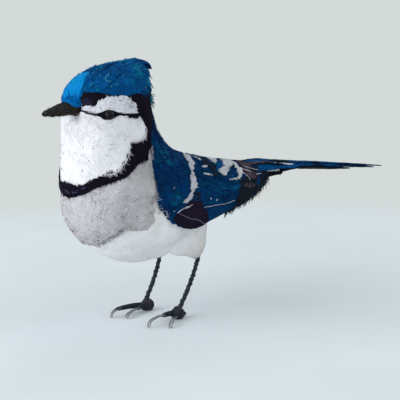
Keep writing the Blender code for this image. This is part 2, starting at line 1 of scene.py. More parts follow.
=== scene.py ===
import bpy
import bmesh
import numpy as np
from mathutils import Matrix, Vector


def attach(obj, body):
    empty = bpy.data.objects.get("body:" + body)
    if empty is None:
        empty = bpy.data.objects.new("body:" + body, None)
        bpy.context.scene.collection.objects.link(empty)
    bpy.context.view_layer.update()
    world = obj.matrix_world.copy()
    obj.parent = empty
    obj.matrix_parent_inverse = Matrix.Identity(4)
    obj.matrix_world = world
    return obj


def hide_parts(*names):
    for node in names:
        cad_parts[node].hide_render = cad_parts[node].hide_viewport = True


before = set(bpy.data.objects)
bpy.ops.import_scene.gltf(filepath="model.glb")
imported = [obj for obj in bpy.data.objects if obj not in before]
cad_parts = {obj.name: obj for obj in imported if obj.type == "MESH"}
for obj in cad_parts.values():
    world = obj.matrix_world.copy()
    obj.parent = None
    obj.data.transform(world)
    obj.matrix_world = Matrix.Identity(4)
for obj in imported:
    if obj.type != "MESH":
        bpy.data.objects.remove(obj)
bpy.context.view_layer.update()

MM = 0.001

# Camera: a little higher than the bird and ahead of its left side, at the photograph's angle. It was
# solved from the floor, the legs and the bird's middle plane.
EYE = Vector((576.0, -512.4, 190.1)) * MM
LOOK = Vector((43.3, -65.4, 80.0)) * MM
stage = bpy.context.scene
camera = bpy.data.objects.new("camera", bpy.data.cameras.new("camera"))
stage.collection.objects.link(camera)
camera.location = EYE
camera.rotation_mode = "QUATERNION"
camera.rotation_quaternion = (LOOK - EYE).to_track_quat("-Z", "Y")
camera.data.sensor_width = 36.0
camera.data.lens = 103.5
camera.data.clip_start = 0.01
stage.camera = camera
stage.view_settings.view_transform = "Standard"


# Stuffed body: off-white wool cloth pulled over firm stuffing, with thighs drawn down to the legs.
# It is a row of egg-shaped sections that reach across the median plane from a point on the back to
# a point on the front. Columns: back y, back z, front y, front z, half width, egg; millimetres.
BODY = np.array([
    (-126.0, 140.8, -125.5, 133.5, 5.5, 0.0),
    (-125.0, 147.5, -126.6, 127.2, 12.6, 0.05),
    (-120.0, 153.8, -127.6, 118.8, 18.0, 0.12),
    (-109.7, 159.2, -129.0, 109.2, 22.2, 0.10),
    (-95.8, 162.0, -130.4, 98.7, 24.6, 0.04),
    (-82.2, 162.4, -131.4, 87.7, 25.7, -0.08),
    (-77.0, 154.7, -130.6, 76.2, 26.4, -0.20),
    (-76.2, 139.6, -128.2, 65.2, 28.4, -0.24),
    (-72.0, 122.4, -120.8, 54.6, 30.6, -0.17),
    (-59.0, 107.2, -109.3, 45.0, 32.6, -0.05),
    (-37.0, 99.8, -93.0, 38.0, 32.6, 0.08),
    (-17.0, 95.6, -74.0, 37.5, 26.8, 0.18),
    (2.0, 93.2, -58.0, 44.5, 21.5, 0.20),
    (18.0, 90.6, -48.0, 57.0, 16.0, 0.20),
    (31.0, 87.8, -24.0, 68.5, 11.5, 0.20),
    (40.0, 85.5, 6.0, 76.0, 8.0, 0.10),
    (45.0, 84.0, 34.0, 80.0, 5.0, 0.0),
])
THIGH = (15.5, -46.3, 35.4)
THIGH_SIDE, THIGH_REAR, THIGH_AHEAD = 8.2, 6.5, 26.0
THIGH_HEIGHT, THIGH_WALL, THIGH_BLEND = 24.0, 30.0, 2.5
draws = np.random.default_rng


def spline(rows, t):
    """Values of the rows at t, on a smooth curve through all rows at whole numbers of t."""
    n = len(rows)
    i = np.clip(np.floor(t).astype(int), 0, n - 2)
    u = (t - i)[..., None]
    p1, p2 = rows[i], rows[i + 1]
    p0 = np.where((i == 0)[..., None], 2 * p1 - p2, rows[np.maximum(i - 1, 0)])
    p3 = np.where((i == n - 2)[..., None], 2 * p2 - p1, rows[np.minimum(i + 2, n - 1)])
    return 0.5 * (2 * p1 + (p2 - p0) * u + (2 * p0 - 5 * p1 + 4 * p2 - p3) * u ** 2
                  + (3 * p1 - p0 - 3 * p2 + p3) * u ** 3)


def thigh_floor(x, y):
    """Height of the thigh's underside over the floor: half a bowl around its lowest point, and a
    steep wall outside the bowl."""
    dx = (np.abs(x) - THIGH[0]) / THIGH_SIDE
    dy = (y - THIGH[1]) / np.where(y < THIGH[1], THIGH_AHEAD, THIGH_REAR)
    d2 = dx ** 2 + dy ** 2
    bowl = THIGH_HEIGHT * (1 - np.sqrt(np.clip(1 - d2, 0, 1)))
    return THIGH[2] + bowl + THIGH_WALL * np.clip(d2 - 1, 0, None)


def skin(t, a, table=BODY):
    """Points at section t and angle a in degrees, from 0 on the back over 90 on the left to 180 on
    the front: halfway between the two end points plus cos a times half their distance, and
    x = width sin a (1 + egg cos a). The lower of skin and thigh counts, blended smoothly."""
    t, a = np.broadcast_arrays(np.asarray(t, float), np.radians(np.asarray(a, float)))
    r = spline(table, t)
    back, front = r[..., 0:2], r[..., 2:4]
    yz = (back + front) / 2 + (back - front) / 2 * np.cos(a)[..., None]
    x = r[..., 4] * np.sin(a) * (1 + r[..., 5] * np.cos(a))
    z = yz[..., 1]
    if table is BODY:
        lobe = thigh_floor(x, yz[..., 0])
        h = np.clip(0.5 + 0.5 * (lobe - z) / THIGH_BLEND, 0, 1)
        low = z * h + lobe * (1 - h) - THIGH_BLEND * h * (1 - h)
        z = np.where(np.cos(a) < 0.2, np.minimum(z, low), z)
    return np.stack([x, yz[..., 0], z], axis=-1)


def unit(way):
    """Vectors brought to a length of one."""
    return way / np.maximum(np.linalg.norm(way, axis=-1, keepdims=True), 1e-9)


def skin_normal(t, a, table=BODY):
    """Outward unit normals, from small steps along t and a."""
    dt, da = 0.02, 1.0
    last = len(table) - 1
    along = skin(np.clip(t + dt, 0, last), a, table) - skin(np.clip(t - dt, 0, last), a, table)
    return unit(np.cross(skin(t, a + da, table) - skin(t, a - da, table), along))


def lumps(points, size, seed):
    """Smooth noise from -1 to 1 with hills about size across: every corner of a cubic lattice has a
    random height, and a point blends the heights of its cell's eight corners."""
    heights = draws(seed).uniform(-1, 1, 8192)
    q = np.asarray(points, float) / size + 500.0
    cell = np.floor(q).astype(np.int64)
    u = q - cell
    u = u * u * (3 - 2 * u)
    total = np.zeros(q.shape[:-1])
    for corner in np.ndindex(2, 2, 2):
        c = cell + corner
        key = (c[..., 0] * 73856093) ^ (c[..., 1] * 19349663) ^ (c[..., 2] * 83492791)
        weight = np.prod(np.where(corner, u, 1 - u), axis=-1)
        total += heights[key % 8192] * weight
    return total


def grid_faces(rows, columns, wrap_rows=False, wrap_columns=False, start=0, flip=False):
    """Four corners of every cell of a grid of vertices that is stored row by row."""
    i, j = np.meshgrid(np.arange(rows if wrap_rows else rows - 1),
                       np.arange(columns if wrap_columns else columns - 1), indexing="ij")
    k, m = (i + 1) % rows, (j + 1) % columns
    cells = np.stack([i * columns + j, k * columns + j, k * columns + m, i * columns + m], axis=-1)
    cells = cells.reshape(-1, 4) + start
    return cells[:, ::-1] if flip else cells


def ring_faces(rows, columns):
    """Faces of rings of points that are closed by a point at the first ring and one at the last."""
    ring = np.arange(columns)
    caps = [np.stack([ring + low, (ring + 1) % columns + low, np.full(columns, rows * columns + k)], axis=1)
            for k, low in enumerate((0, (rows - 1) * columns))]
    return [grid_faces(rows, columns, wrap_columns=True), *caps]


def ringed(rings, first, last):
    """Points and faces of rings of points with the two points that close them."""
    return np.concatenate([rings.reshape(-1, 3), [first, last]]), ring_faces(*rings.shape[:2])


def put_mesh(name, points, faces, material, uv=None, dye_and_light=None, stands_for=()):
    """A piece from points in millimetres and lists of faces. uv is in millimetres of cloth and dye is
    a share of the second colour, both one a point. Its normals are turned outwards."""
    mesh = bpy.data.meshes.new(name)
    mesh.from_pydata((points * MM).tolist(), [], [f for block in faces for f in block.tolist()])
    work = bmesh.new()
    work.from_mesh(mesh)
    bmesh.ops.recalc_face_normals(work, faces=work.faces)
    work.to_mesh(mesh)
    work.free()
    if uv is not None:
        corner = np.empty(len(mesh.loops), np.int32)
        mesh.loops.foreach_get("vertex_index", corner)
        layer = mesh.uv_layers.new(name="cloth")
        layer.data.foreach_set("uv", (uv[corner] * 0.01).astype(np.float32).ravel())
    if dye_and_light is not None:
        layer = mesh.attributes.new("dye_and_light", "FLOAT", "POINT")
        layer.data.foreach_set("value", np.asarray(dye_and_light, np.float32).ravel())
    mesh.shade_smooth()
    mesh.materials.append(material)
    piece = bpy.data.objects.new(name, mesh)
    bpy.context.scene.collection.objects.link(piece)
    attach(piece, "root")
    if stands_for:
        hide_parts(*stands_for)
    return piece


def node(tree, kind, inputs=None, **settings):
    """A shader node of a kind. inputs sets its sockets, or links them where the value is a socket."""
    made = tree.nodes.new("ShaderNode" + kind)
    for key, value in settings.items():
        setattr(made, key, value)
    for key, value in (inputs or {}).items():
        if isinstance(value, bpy.types.NodeSocket):
            tree.links.new(value, made.inputs[key])
        else:
            made.inputs[key].default_value = value
    return made


def ramp(tree, fac, *stops):
    """A colour ramp's output for stops of (place, grey or colour)."""
    made = node(tree, "ValToRGB", {0: fac})
    band = made.color_ramp.elements
    while len(band) < len(stops):
        band.new(0.5)
    for element, (place, colour) in zip(band, stops):
        element.position = place
        rgb = (colour,) * 3 if isinstance(colour, float) else colour
        element.color = (*rgb, 1.0)
    return made.outputs[0]


def maths(tree, operation, a, b=0.0, clamp=False):
    """The result of a maths node on two values or sockets."""
    return node(tree, "Math", {0: a, 1: b}, operation=operation, use_clamp=clamp).outputs[0]


def noise(tree, place, rate, **inputs):
    """A noise texture's node, with hills about a metre over rate across."""
    return node(tree, "TexNoise", {"Vector": place, "Scale": rate, **inputs})


def blend(tree, share, a, b, kind="MIX"):
    """The colour between a and b at a share."""
    made = tree.nodes.new("ShaderNodeMix")
    made.data_type, made.blend_type = "RGBA", kind
    for socket, value in ((made.inputs[0], share), (made.inputs[6], a), (made.inputs[7], b)):
        if isinstance(value, bpy.types.NodeSocket):
            tree.links.new(value, socket)
        else:
            socket.default_value = (*value, 1.0) if isinstance(value, tuple) else value
    return made.outputs[2]


def make_group(name, inputs, outputs):
    """An empty shader group with named values in and out, and its two end nodes."""
    group = bpy.data.node_groups.new(name, "ShaderNodeTree")
    for way, labels in (("INPUT", inputs), ("OUTPUT", outputs)):
        for label in labels:
            group.interface.new_socket(label, in_out=way, socket_type="NodeSocketFloat")
    return group, group.nodes.new("NodeGroupInput"), group.nodes.new("NodeGroupOutput")


def place_group(tree, group, **values):
    """A group's node with its inputs set."""
    made = tree.nodes.new("ShaderNodeGroup")
    made.node_tree = group
    for label, value in values.items():
        made.inputs[label].default_value = value
    return made


# Handwoven cloth: two sets of threads that cross over and under each other, a little uneven, with a
# nap of loose fibres and slubs on top. Heights are shares of a thread. The second output is low in the
# gaps between the threads and in fine flecks, where the cloth darkens its colour: painted shade in the gaps.
WEAVE, gin, gout = make_group("weave", ("Thread", "Slub"), ("Height", "FleckAndGapShade"))
uv = node(WEAVE, "UVMap", uv_map="cloth").outputs[0]
bend = noise(WEAVE, uv, 60.0, Detail=2.0)
wavy = node(WEAVE, "VectorMath", {0: bend.outputs["Color"], 1: (0.004, 0.004, 0.0)}, operation="MULTIPLY")
moved = node(WEAVE, "VectorMath", {0: uv, 1: wavy.outputs[0]}, operation="ADD")
turns = maths(WEAVE, "DIVIDE", 314.16, gin.outputs["Thread"])
scaled = node(WEAVE, "VectorMath", {0: moved.outputs[0], "Scale": turns}, operation="SCALE")
way = node(WEAVE, "SeparateXYZ", {0: scaled.outputs[0]}).outputs
warp, weft = (maths(WEAVE, "ABSOLUTE", maths(WEAVE, "SINE", way[k])) for k in (0, 1))
over, under = (maths(WEAVE, "SINE", maths(WEAVE, "MULTIPLY", way[k], 0.5)) for k in (0, 1))
turn = maths(WEAVE, "MULTIPLY_ADD", maths(WEAVE, "MULTIPLY", over, under), 0.5)
cross = maths(WEAVE, "MAXIMUM", maths(WEAVE, "MULTIPLY", warp, turn),
              maths(WEAVE, "MULTIPLY", weft, maths(WEAVE, "SUBTRACT", 1.0, turn)))
place = node(WEAVE, "TexCoord").outputs["Object"]
fuzz = noise(WEAVE, place, 900.0, Detail=5.0, Roughness=0.7).outputs[0]
slubs = noise(WEAVE, place, 260.0, Detail=3.0, Distortion=1.5).outputs[0]
rough = maths(WEAVE, "MULTIPLY", maths(WEAVE, "MULTIPLY", slubs, gin.outputs["Slub"]), 3.0)
WEAVE.links.new(maths(WEAVE, "ADD", maths(WEAVE, "ADD", cross, fuzz), rough), gout.inputs["Height"])
WEAVE.links.new(maths(WEAVE, "MULTIPLY", fuzz, cross), gout.inputs["FleckAndGapShade"])

# Dye and folds: soft clouds of one colour in another, streaks along the bird, and creases like paper's.
CLOUDS, gin, gout = make_group("clouds", ("Size", "Sharp"), ("Large", "Streak", "Crease"))
place = node(CLOUDS, "TexCoord").outputs["Object"]
rate = maths(CLOUDS, "DIVIDE", 1000.0, gin.outputs["Size"])
large = noise(CLOUDS, place, rate, Detail=4.0, Roughness=0.62, Distortion=0.4)
long_way = node(CLOUDS, "Mapping", {"Vector": place, "Rotation": (0.5, 0.0, 0.0), "Scale": (1.0, 0.28, 1.0)})
streak = noise(CLOUDS, long_way.outputs[0], maths(CLOUDS, "MULTIPLY", rate, 3.0), Detail=4.0, Roughness=0.6)
for source, label in ((large, "Large"), (streak, "Streak")):
    away = maths(CLOUDS, "SUBTRACT", source.outputs[0], 0.5)
    sharp = maths(CLOUDS, "MULTIPLY", away, gin.outputs["Sharp"])
    CLOUDS.links.new(maths(CLOUDS, "ADD", sharp, 0.5, clamp=True), gout.inputs[label])
folds = noise(CLOUDS, place, maths(CLOUDS, "MULTIPLY", rate, 2.2), Detail=3.0, Distortion=1.3)
CLOUDS.links.new(maths(CLOUDS, "ABSOLUTE", maths(CLOUDS, "SUBTRACT", folds.outputs[0], 0.5)),
                 gout.inputs["Crease"])


def cloth(name, main, second, streak, thread=0.6, slub=0.8, size=5.0, sharp=4.0, cloud=0.5, streaks=0.5,
          relief=0.35, fleck_and_gap_shade=0.62, crease=0.0, sheen=0.0, gloss=0.04, rough=0.95, metal=0.0, bands=None):
    """Cloth of a main colour with clouds and dyed places of a second and streaks of a third, woven of
    threads of a given width in millimetres. relief is the weave's depth and crease the depth of
    paper-like folds, both in millimetres. bands are stops of a colour ramp in place of the two colours."""
    material = bpy.data.materials.new(name)
    material.use_nodes = True
    tree = material.node_tree
    shader = tree.nodes["Principled BSDF"].inputs
    weave = place_group(tree, WEAVE, Thread=thread, Slub=slub)
    clouds = place_group(tree, CLOUDS, Size=size, Sharp=sharp)
    # The per-point share carries the cloth's dyed places and, on some pieces, painted light and shade.
    dye_and_light = node(tree, "Attribute", attribute_name="dye_and_light")
    share = maths(tree, "MULTIPLY", clouds.outputs["Large"], cloud)
    share = maths(tree, "ADD", share, dye_and_light.outputs["Fac"], clamp=True)
    colour = ramp(tree, share, *bands) if bands else blend(tree, share, main, second)
    colour = blend(tree, maths(tree, "MULTIPLY", clouds.outputs["Streak"], streaks), colour, streak)
    # The colour darkens where the weave is low: painted shade in the gaps between threads, and fine flecks.
    dark = ramp(tree, weave.outputs["FleckAndGapShade"], (0.05, fleck_and_gap_shade), (0.5, 1.0))
    tree.links.new(blend(tree, 1.0, colour, dark, "MULTIPLY"), shader["Base Color"])
    bump = node(tree, "Bump", {"Height": weave.outputs["Height"], "Strength": 0.9, "Distance": relief * MM})
    if crease:
        folds = node(tree, "Bump", {"Height": clouds.outputs["Crease"], "Strength": 1.0,
                                    "Distance": crease * 6 * MM})
        tree.links.new(folds.outputs[0], bump.inputs["Normal"])
    tree.links.new(bump.outputs[0], shader["Normal"])
    for label, value in (("Roughness", rough), ("Metallic", metal), ("Specular IOR Level", gloss),
                         ("Sheen Weight", sheen), ("Sheen Roughness", 0.6)):
        shader[label].default_value = value
    return material


wool = cloth("white_wool", (0.90, 0.895, 0.925), (0.60, 0.565, 0.55), (0.93, 0.92, 0.94), thread=0.9,
             slub=0.4, size=14.0, sharp=2.5, cloud=0.4, streaks=0.3, relief=0.16, fleck_and_gap_shade=0.85, crease=0.26,
             sheen=0.05)


def low_thigh_beige(points):
    """Beige around the back of the thighs, more towards their bottom, and a little on the belly."""
    thigh = np.exp(-((points[:, 1] + 43) / 9) ** 2) * np.clip((72 - points[:, 2]) / 25, 0, 1)
    return 0.75 * thigh + 0.30 * lumps(points, 9, 7)


t = np.concatenate([np.linspace(0, 9, 60)[:-1], np.linspace(9, 14, 130)[:-1],
                    np.linspace(14, 16, 24)])[:, None]
a = np.linspace(0, 360, 220, endpoint=False)[None, :]
rings, out = skin(t, a), skin_normal(t, a)
swell = 0.5 * lumps(rings, 11, 1) + 0.3 * lumps(rings, 4.5, 2) + 0.12 * lumps(rings, 1.6, 3)
rings = rings + out * (swell - 0.25 - 1.6 * np.clip((t - 12.5) / 2.0, 0, 1))[..., None]
behind, low = rings[..., 1] - THIGH[1], 56 - rings[..., 2]
rings[..., 1] += 2.0 * np.clip(behind / 3, 0, 1) * np.clip(low / 10, 0, 1)
ahead, beside = THIGH[1] - rings[..., 1], np.abs(rings[..., 0]) - THIGH[0]
pinch = 2.2 * np.exp(-((ahead - 8.0) / 6.0) ** 2) - 2.2 * np.exp(-((ahead - 21.0) / 6.0) ** 2)
rings[..., 2] += pinch * np.exp(-(beside / 10.0) ** 2) * np.clip((49 - rings[..., 2]) / 4, 0, 1)
points, faces = ringed(rings, rings[0].mean(axis=0), rings[-1].mean(axis=0))
x, y, z = rings.reshape(-1, 3).T
body_uv = np.concatenate([np.stack([y - z * 0.4, np.arctan2(x, 90 - z) * 28], axis=1), [(0, 0), (0, 0)]])
body = put_mesh("body", points, faces, wool, body_uv, low_thigh_beige(points), ["stuffed_body"])


# Breast: grey-white slubbed cloth sewn over the body below the black collar. Its lower edge is left
# raw and teased out into the belly, and dark stitches hold it.
COLLAR_EDGE = [(7.3, 67), (7.4, 75), (7.2, 82), (6.95, 90), (6.82, 97), (6.66, 104), (6.5, 111), (6.0, 124),
               (5.62, 137), (5.44, 151), (5.36, 166), (5.35, 180)]
BREAST_EDGE = [(7.7, 66), (8.15, 79), (8.45, 90), (8.5, 100), (8.42, 110), (8.3, 120), (8.2, 132),
               (8.18, 142), (8.13, 152), (8.2, 160), (8.15, 170), (7.95, 180)]


def refine(rows, count):
    """Count points along a smooth curve through rows of numbers, evenly spaced by row."""
    rows = np.array(rows, float)
    return spline(rows, np.linspace(0, len(rows) - 1, count))


def mirrored(rows):
    """Rows of t and a of the left side up to the middle, and on over the right side."""
    rows = np.array(rows, float)
    other = rows[-2::-1].copy()
    other[:, 1] = 360 - other[:, 1]
    return np.concatenate([rows, other])


def ripple(at, size, seed):
    """Smooth noise along a line, at distances from its start."""
    return lumps(np.asarray(at)[..., None] * [1.0, 0.0, 0.0], size, seed)


def between(first, second, across, rag=(0.0, 0.0), seed=0, table=BODY):
    """Grid of t and a between two edges with a ragged outline: a point is first + (second - first) v,
    and at both ends v is moved by noise worth rag millimetres, in teeth about a millimetre wide."""
    v = np.linspace(0, 1, across)[None, :]
    width = np.linalg.norm(skin(*second.T, table) - skin(*first.T, table), axis=-1)[:, None]
    step = np.linalg.norm(np.diff(skin(*first.T, table), axis=0), axis=-1)
    at = np.append(0, np.cumsum(np.maximum(step, 0.05)))
    low, high = (rag[k] * (0.7 * ripple(at, 1.0, seed + k) + 0.5 * ripple(at, 3.7, seed + 9 + k))[:, None]
                 / np.maximum(width, 1) for k in (0, 1))
    v = v + low * (1 - v) ** 2 + high * v ** 2
    return (first[:, None, :] + (second - first)[:, None, :] * v[..., None]).transpose(2, 0, 1)


def strip(rows, count, across, rag, seed, table=BODY):
    """Grid of t and a from rows that hold t and a on the first edge, then t and a on the second."""
    rows = refine(rows, count)
    return between(rows[:, :2], rows[:, 2:], across, rag, seed, table)


def saddle(edge, middle, count, across, rag, seed):
    """Grid of t and a across the back, from rows of t and a at the left edge and t in the middle:
    t = edge + (middle - edge) (1 - v squared) and angle = edge times v, with v from -1 to 1."""
    low, angle, high = refine(np.column_stack([edge, middle]), count).T[..., None]
    angle = angle + rag * ripple(0.4 * np.arange(count), 1.0, seed)[:, None]
    v = np.linspace(-1, 1, across)[None, :]
    return low + (high - low) * (1 - v ** 2), angle * v


def shell(top, under, closed=False):
    """Points, faces and cloth coordinates of a closed piece with a top side, an under side and a rim."""
    rows, columns = top.shape[:2]
    count = rows * columns
    i, j = np.arange(rows), np.arange(columns)
    lines = [(i * columns, closed), (i * columns + columns - 1, closed)]
    if not closed:
        lines += [(j, False), (j + (rows - 1) * columns, False)]
    faces = [grid_faces(rows, columns, wrap_rows=closed),
             grid_faces(rows, columns, wrap_rows=closed, start=count, flip=True)]
    for line, turn in lines:
        own, following = (line, np.roll(line, -1)) if turn else (line[:-1], line[1:])
        faces.append(np.stack([own, following, following + count, own + count], axis=1))
    along = np.append(0, np.linalg.norm(np.diff(top, axis=0), axis=-1).mean(axis=1).cumsum())
    across = np.append(0, np.linalg.norm(np.diff(top, axis=1), axis=-1).mean(axis=0).cumsum())
    uv = np.stack(np.meshgrid(along, across, indexing="ij"), axis=-1).reshape(-1, 2)
    return np.concatenate([top.reshape(-1, 3), under.reshape(-1, 3)]), faces, np.concatenate([uv, uv])


def sew_on(name, t, a, material, stands_for=(), *, thickness, seed, lift=0.3, crease=0.3, edge=2,
           dye_and_light=None, table=BODY, closed=False):
    """Cloth over a grid of t and a. Its top lies lift + thickness above the skin with soft creases and
    rounds down over the last rows at its edges. The share of the second colour is given as a function of the
    points."""
    base, out = skin(t, a, table), skin_normal(t, a, table)
    wave = crease * (lumps(base, 7.0, seed) + 0.5 * lumps(base, 3.0, seed + 1) + 0.3
                     * lumps(base, 1.2, seed + 2))
    rows, columns = t.shape
    i, j = np.arange(rows)[:, None], np.arange(columns)[None, :]
    near = np.minimum(j, columns - 1 - j) + 0 * i
    if not closed:
        near = np.minimum(near, np.minimum(i, rows - 1 - i))
    fall = np.clip(near / edge, 0, 1)
    low = np.broadcast_to(lift, t.shape)
    high = low + thickness * (0.35 + 0.65 * np.sqrt(fall * (2 - fall))) + wave * (0.4 + 0.6 * fall)
    top = base + out * high[..., None]
    points, faces, uv = shell(top, base + out * (low - 0.25)[..., None], closed)
    shade = np.zeros(len(points)) if dye_and_light is None else dye_and_light(points)
    piece = put_mesh(name, points, faces, material, uv, shade, stands_for)
    return piece


def tangent(way, out):
    """Unit vectors of a way over the skin, without its part along the outward normals."""
    return unit(way - (way * out).sum(axis=-1, keepdims=True) * out)


def thread_mesh(paths, radius, sides):
    """Points and faces of threads along paths[n, k]: round, radius[n, k] thick, and closed by a point
    at both ends. A ring is the path's point plus radius (side cos s + up sin s), and its side turns
    from ring to ring only as far as the path does."""
    count, steps = paths.shape[:2]
    way = unit(np.gradient(paths, axis=1))
    side = np.empty_like(paths)
    last = np.cross(way[:, 0], np.where(np.abs(way[:, 0, 2:3]) > 0.9, [1.0, 0.0, 0.0], [0.0, 0.0, 1.0]))
    for k in range(steps):
        side[:, k] = last = tangent(last, way[:, k])
    up = np.cross(side, way)
    s = np.arange(sides) * 2 * np.pi / sides
    r = np.broadcast_to(radius, (count, steps))[..., None, None]
    around = side[:, :, None] * np.cos(s)[:, None] + up[:, :, None] * np.sin(s)[:, None]
    first, last = paths[:, 0] - way[:, 0] * r[:, 0, 0] * 0.7, paths[:, -1] + way[:, -1] * r[:, -1, 0] * 0.7
    rings = (paths[:, :, None] + r * around).reshape(count, -1, 3)
    points = np.concatenate([rings, first[:, None], last[:, None]], axis=1)
    size = steps * sides + 2
    start = np.arange(count)[:, None, None] * size
    faces = [(block[None] + start).reshape(-1, block.shape[1]) for block in ring_faces(steps, sides)]
    return points.reshape(-1, 3), faces, size


def put_threads(name, paths, radius, material, dye_and_light=None, sign=1, sides=4, stands_for=()):
    """A piece made of threads; dye is one value a thread, and a sign of -1 puts them on the right."""
    points, faces, size = thread_mesh(paths * np.array([sign, 1, 1]), radius, sides)
    shade = np.zeros(len(points)) if dye_and_light is None else np.repeat(dye_and_light, size)
    return put_mesh(name, points, faces, material, dye_and_light=shade, stands_for=stands_for)


def rearward(spots, turn=0.0):
    """Ways to the rear over the skin at places of t and a, and around it where turn isn't 0."""
    return skin(spots[:, 0] + 0.1, spots[:, 1] + turn) - skin(*spots.T)


def fray(name, spots, way, length, seed, lift, thick, material, dye_and_light=None, sign=1, *, stand, sides=3,
         curl=0.5, table=BODY):
    """Loose fibres that start at spots of t and a and run over the skin along way, each a share of
    length long: start + way s + sideways (lean s + bow s squared) + up stand s (1.2 - s). thick holds
    their radii from root to tip."""
    draw = draws(seed)
    base, out = skin(*spots.T, table), skin_normal(*spots.T, table)
    way = tangent(np.array(way), out)
    side = np.cross(out, way)
    n = len(base)
    reach = (np.broadcast_to(length, n) * draw.uniform(0.45, 1.0, n))[:, None, None]
    s = np.linspace(0, 1, len(thick))[None, :, None]
    lean, bow = draw.normal(0, curl, (2, n, 1, 1))
    rise = draw.uniform(0.1, 1.0, (n, 1, 1)) * stand
    paths = ((base + out * lift)[:, None] + way[:, None] * reach * s + side[:, None] * reach
             * (lean * s + bow * s ** 2) + out[:, None] * reach * rise * s * (1.2 - s))
    put_threads(name, paths, thick, material, dye_and_light, sign, sides)


def nap(name, t, a, count, length, material, seed, lift, table=BODY):
    """Loose fibres that stand out of the cloth all over a grid of t and a."""
    draw = draws(seed)
    i, j = draw.integers(1, t.shape[0] - 1, count), draw.integers(1, t.shape[1] - 1, count)
    way = draw.normal(0, 1, (count, 3)) + np.array([0.0, 0.7, -0.5])
    fray(name, np.stack([t[i, j], a[i, j]], axis=1), way, length, seed + 1, lift, [0.05, 0.05, 0.04, 0.025],
         material, draw.uniform(-0.3, 0.35, count), stand=0.35, curl=0.8, table=table)


def edge_run(rows, count, seed, spread=0.0):
    """Count random places along a smooth curve of t and a, strewn a little beside it."""
    draw = draws(seed)
    spots = spline(np.array(rows, float), np.sort(draw.uniform(0, len(rows) - 1, count)))
    return spots + draw.normal(0, 1, spots.shape) * np.array([spread, spread * 25])


def stitch(name, spots, length, angle, seed, lift, radius, material, dye_and_light=None, sign=1, stand=0.35,
           table=BODY):
    """Short stitches centred at spots of t and a, turned by an angle from the rear: a straight line
    over the skin, raised in the middle and sunk into the cloth at both ends."""
    draw = draws(seed)
    base, out = skin(*spots.T, table), skin_normal(*spots.T, table)
    n = len(base)
    along = tangent(skin(spots[:, 0] + 0.05, spots[:, 1], table) - base, out)
    turn = angle + draw.normal(0, 0.35, n)
    way = along * np.cos(turn)[:, None] + np.cross(out, along) * np.sin(turn)[:, None]
    reach = (length * draw.uniform(0.7, 1.2, n))[:, None, None]
    s = np.linspace(-0.5, 0.5, 5)[None, :, None]
    paths = (base + out * lift)[:, None] + way[:, None] * reach * s + out[:, None] * stand * (1 - 6 * s ** 2)
    put_threads(name, paths, radius, material, dye_and_light, sign)


def beige(points):
    """More of the beige towards the wings and the lower edge."""
    return np.clip((points[:, 1] + 108) / 45, 0, 0.75) + np.clip((62 - points[:, 2]) / 30, 0, 0.25)


stone = cloth("stone_cloth", (0.56, 0.555, 0.615), (0.385, 0.34, 0.31), (0.72, 0.71, 0.75), thread=0.8,
              slub=0.9, size=9.0, sharp=3.0, cloud=0.35, streaks=0.45, relief=0.26, fleck_and_gap_shade=0.8, crease=0.28,
              sheen=0.05)
dark_thread = cloth("dark_thread", (0.005, 0.004, 0.008), (0.018, 0.014, 0.026), (0.008, 0.012, 0.030),
                    thread=0.3, slub=0.4, size=2.0, cloud=0.6, relief=0.1, gloss=0.02)

upper = refine(mirrored(COLLAR_EDGE), 260) - [0.35, 0]
lower = refine(mirrored(BREAST_EDGE), 260)
t, a = between(upper, lower, 44, rag=(0.0, 1.6), seed=20)
sew_on("breast", t, a, stone, ["breast_patch"], thickness=0.65, seed=21, crease=0.4, dye_and_light=beige)
nap("breast_nap", t, a, 3000, 1.5, stone, 22, 0.95)
spots = edge_run(mirrored(BREAST_EDGE), 620, 23, 0.05)
fray("breast_fray", spots - [0.12, 0], rearward(spots), 3.6, 24, 0.75, np.linspace(0.13, 0.05, 5),
     stone, draws(25).uniform(-0.2, 0.6, 620), stand=0.2)

DOTS = np.array([(7.28, 111), (6.84, 146), (6.92, 153), (6.54, 160), (7.22, 176), (8.14, 132), (8.28, 128),
                 (8.56, 122), (8.14, 142), (8.46, 107), (8.62, 102), (8.48, 95), (8.86, 98), (8.34, 102),
                 (8.05, 147), (8.1, 156), (8.18, 138), (7.3, 168), (6.6, 171), (7.9, 163)])
draw = draws(26)
dots = np.concatenate([DOTS, DOTS * [1, -1] + [0.12, 363],
                       edge_run(mirrored(BREAST_EDGE), 14, 27, 0.09) - [0.15, 0]])
stitch("breast_stitches", dots, 1.1, 0.3, 28, 0.95, draw.uniform(0.10, 0.22, (len(dots), 1)),
       dark_thread)
small = np.stack([draw.uniform(6.6, 8.3, 70), draw.uniform(100, 260, 70)], axis=1)
stitch("breast_specks", small, 0.5, 0.3, 31, 0.95, draw.uniform(0.05, 0.12, (70, 1)),
       dark_thread, stand=0.2)
fine = np.stack([draw.uniform(7.2, 8.2, 150), draw.uniform(120, 240, 150)], axis=1)
fine = np.concatenate([fine, edge_run(mirrored(COLLAR_EDGE), 90, 29, 0.05) + [0.22, 0]])
stitch("breast_pale_stitches", fine, 1.7, 0.15, 30, 0.85, 0.10, stone, np.full(len(fine), 0.9),
       stand=0.2)


# Breast scraps: a smaller piece of the same cloth on each side of the breast, in front of the wing,
# its front edge torn and turned up.
SIDES = (("left", 1), ("right", -1))
t, a = strip([(8.0, 97, 8.66, 96.5), (7.86, 103, 8.8, 102), (7.66, 112, 8.9, 109), (7.8, 119, 8.86, 117),
              (7.9, 127, 8.4, 127)], 90, 30, (1.0, 1.1), 35)
for side, sign in SIDES:
    # The colour is lighter towards the turned-up front edge: a painted highlight.
    sew_on(side + "_breast_scrap", t, a * sign, stone, [side + "_side_breast_patch"],
           lift=0.45 + 1.0 * np.exp(-12 * np.linspace(0, 1, 30)[None, :]), thickness=0.5, seed=36,
           crease=0.35, edge=1, dye_and_light=lambda p: 0.5 - 0.35 * np.clip(-p[:, 1] - 92, 0, 8) / 8)


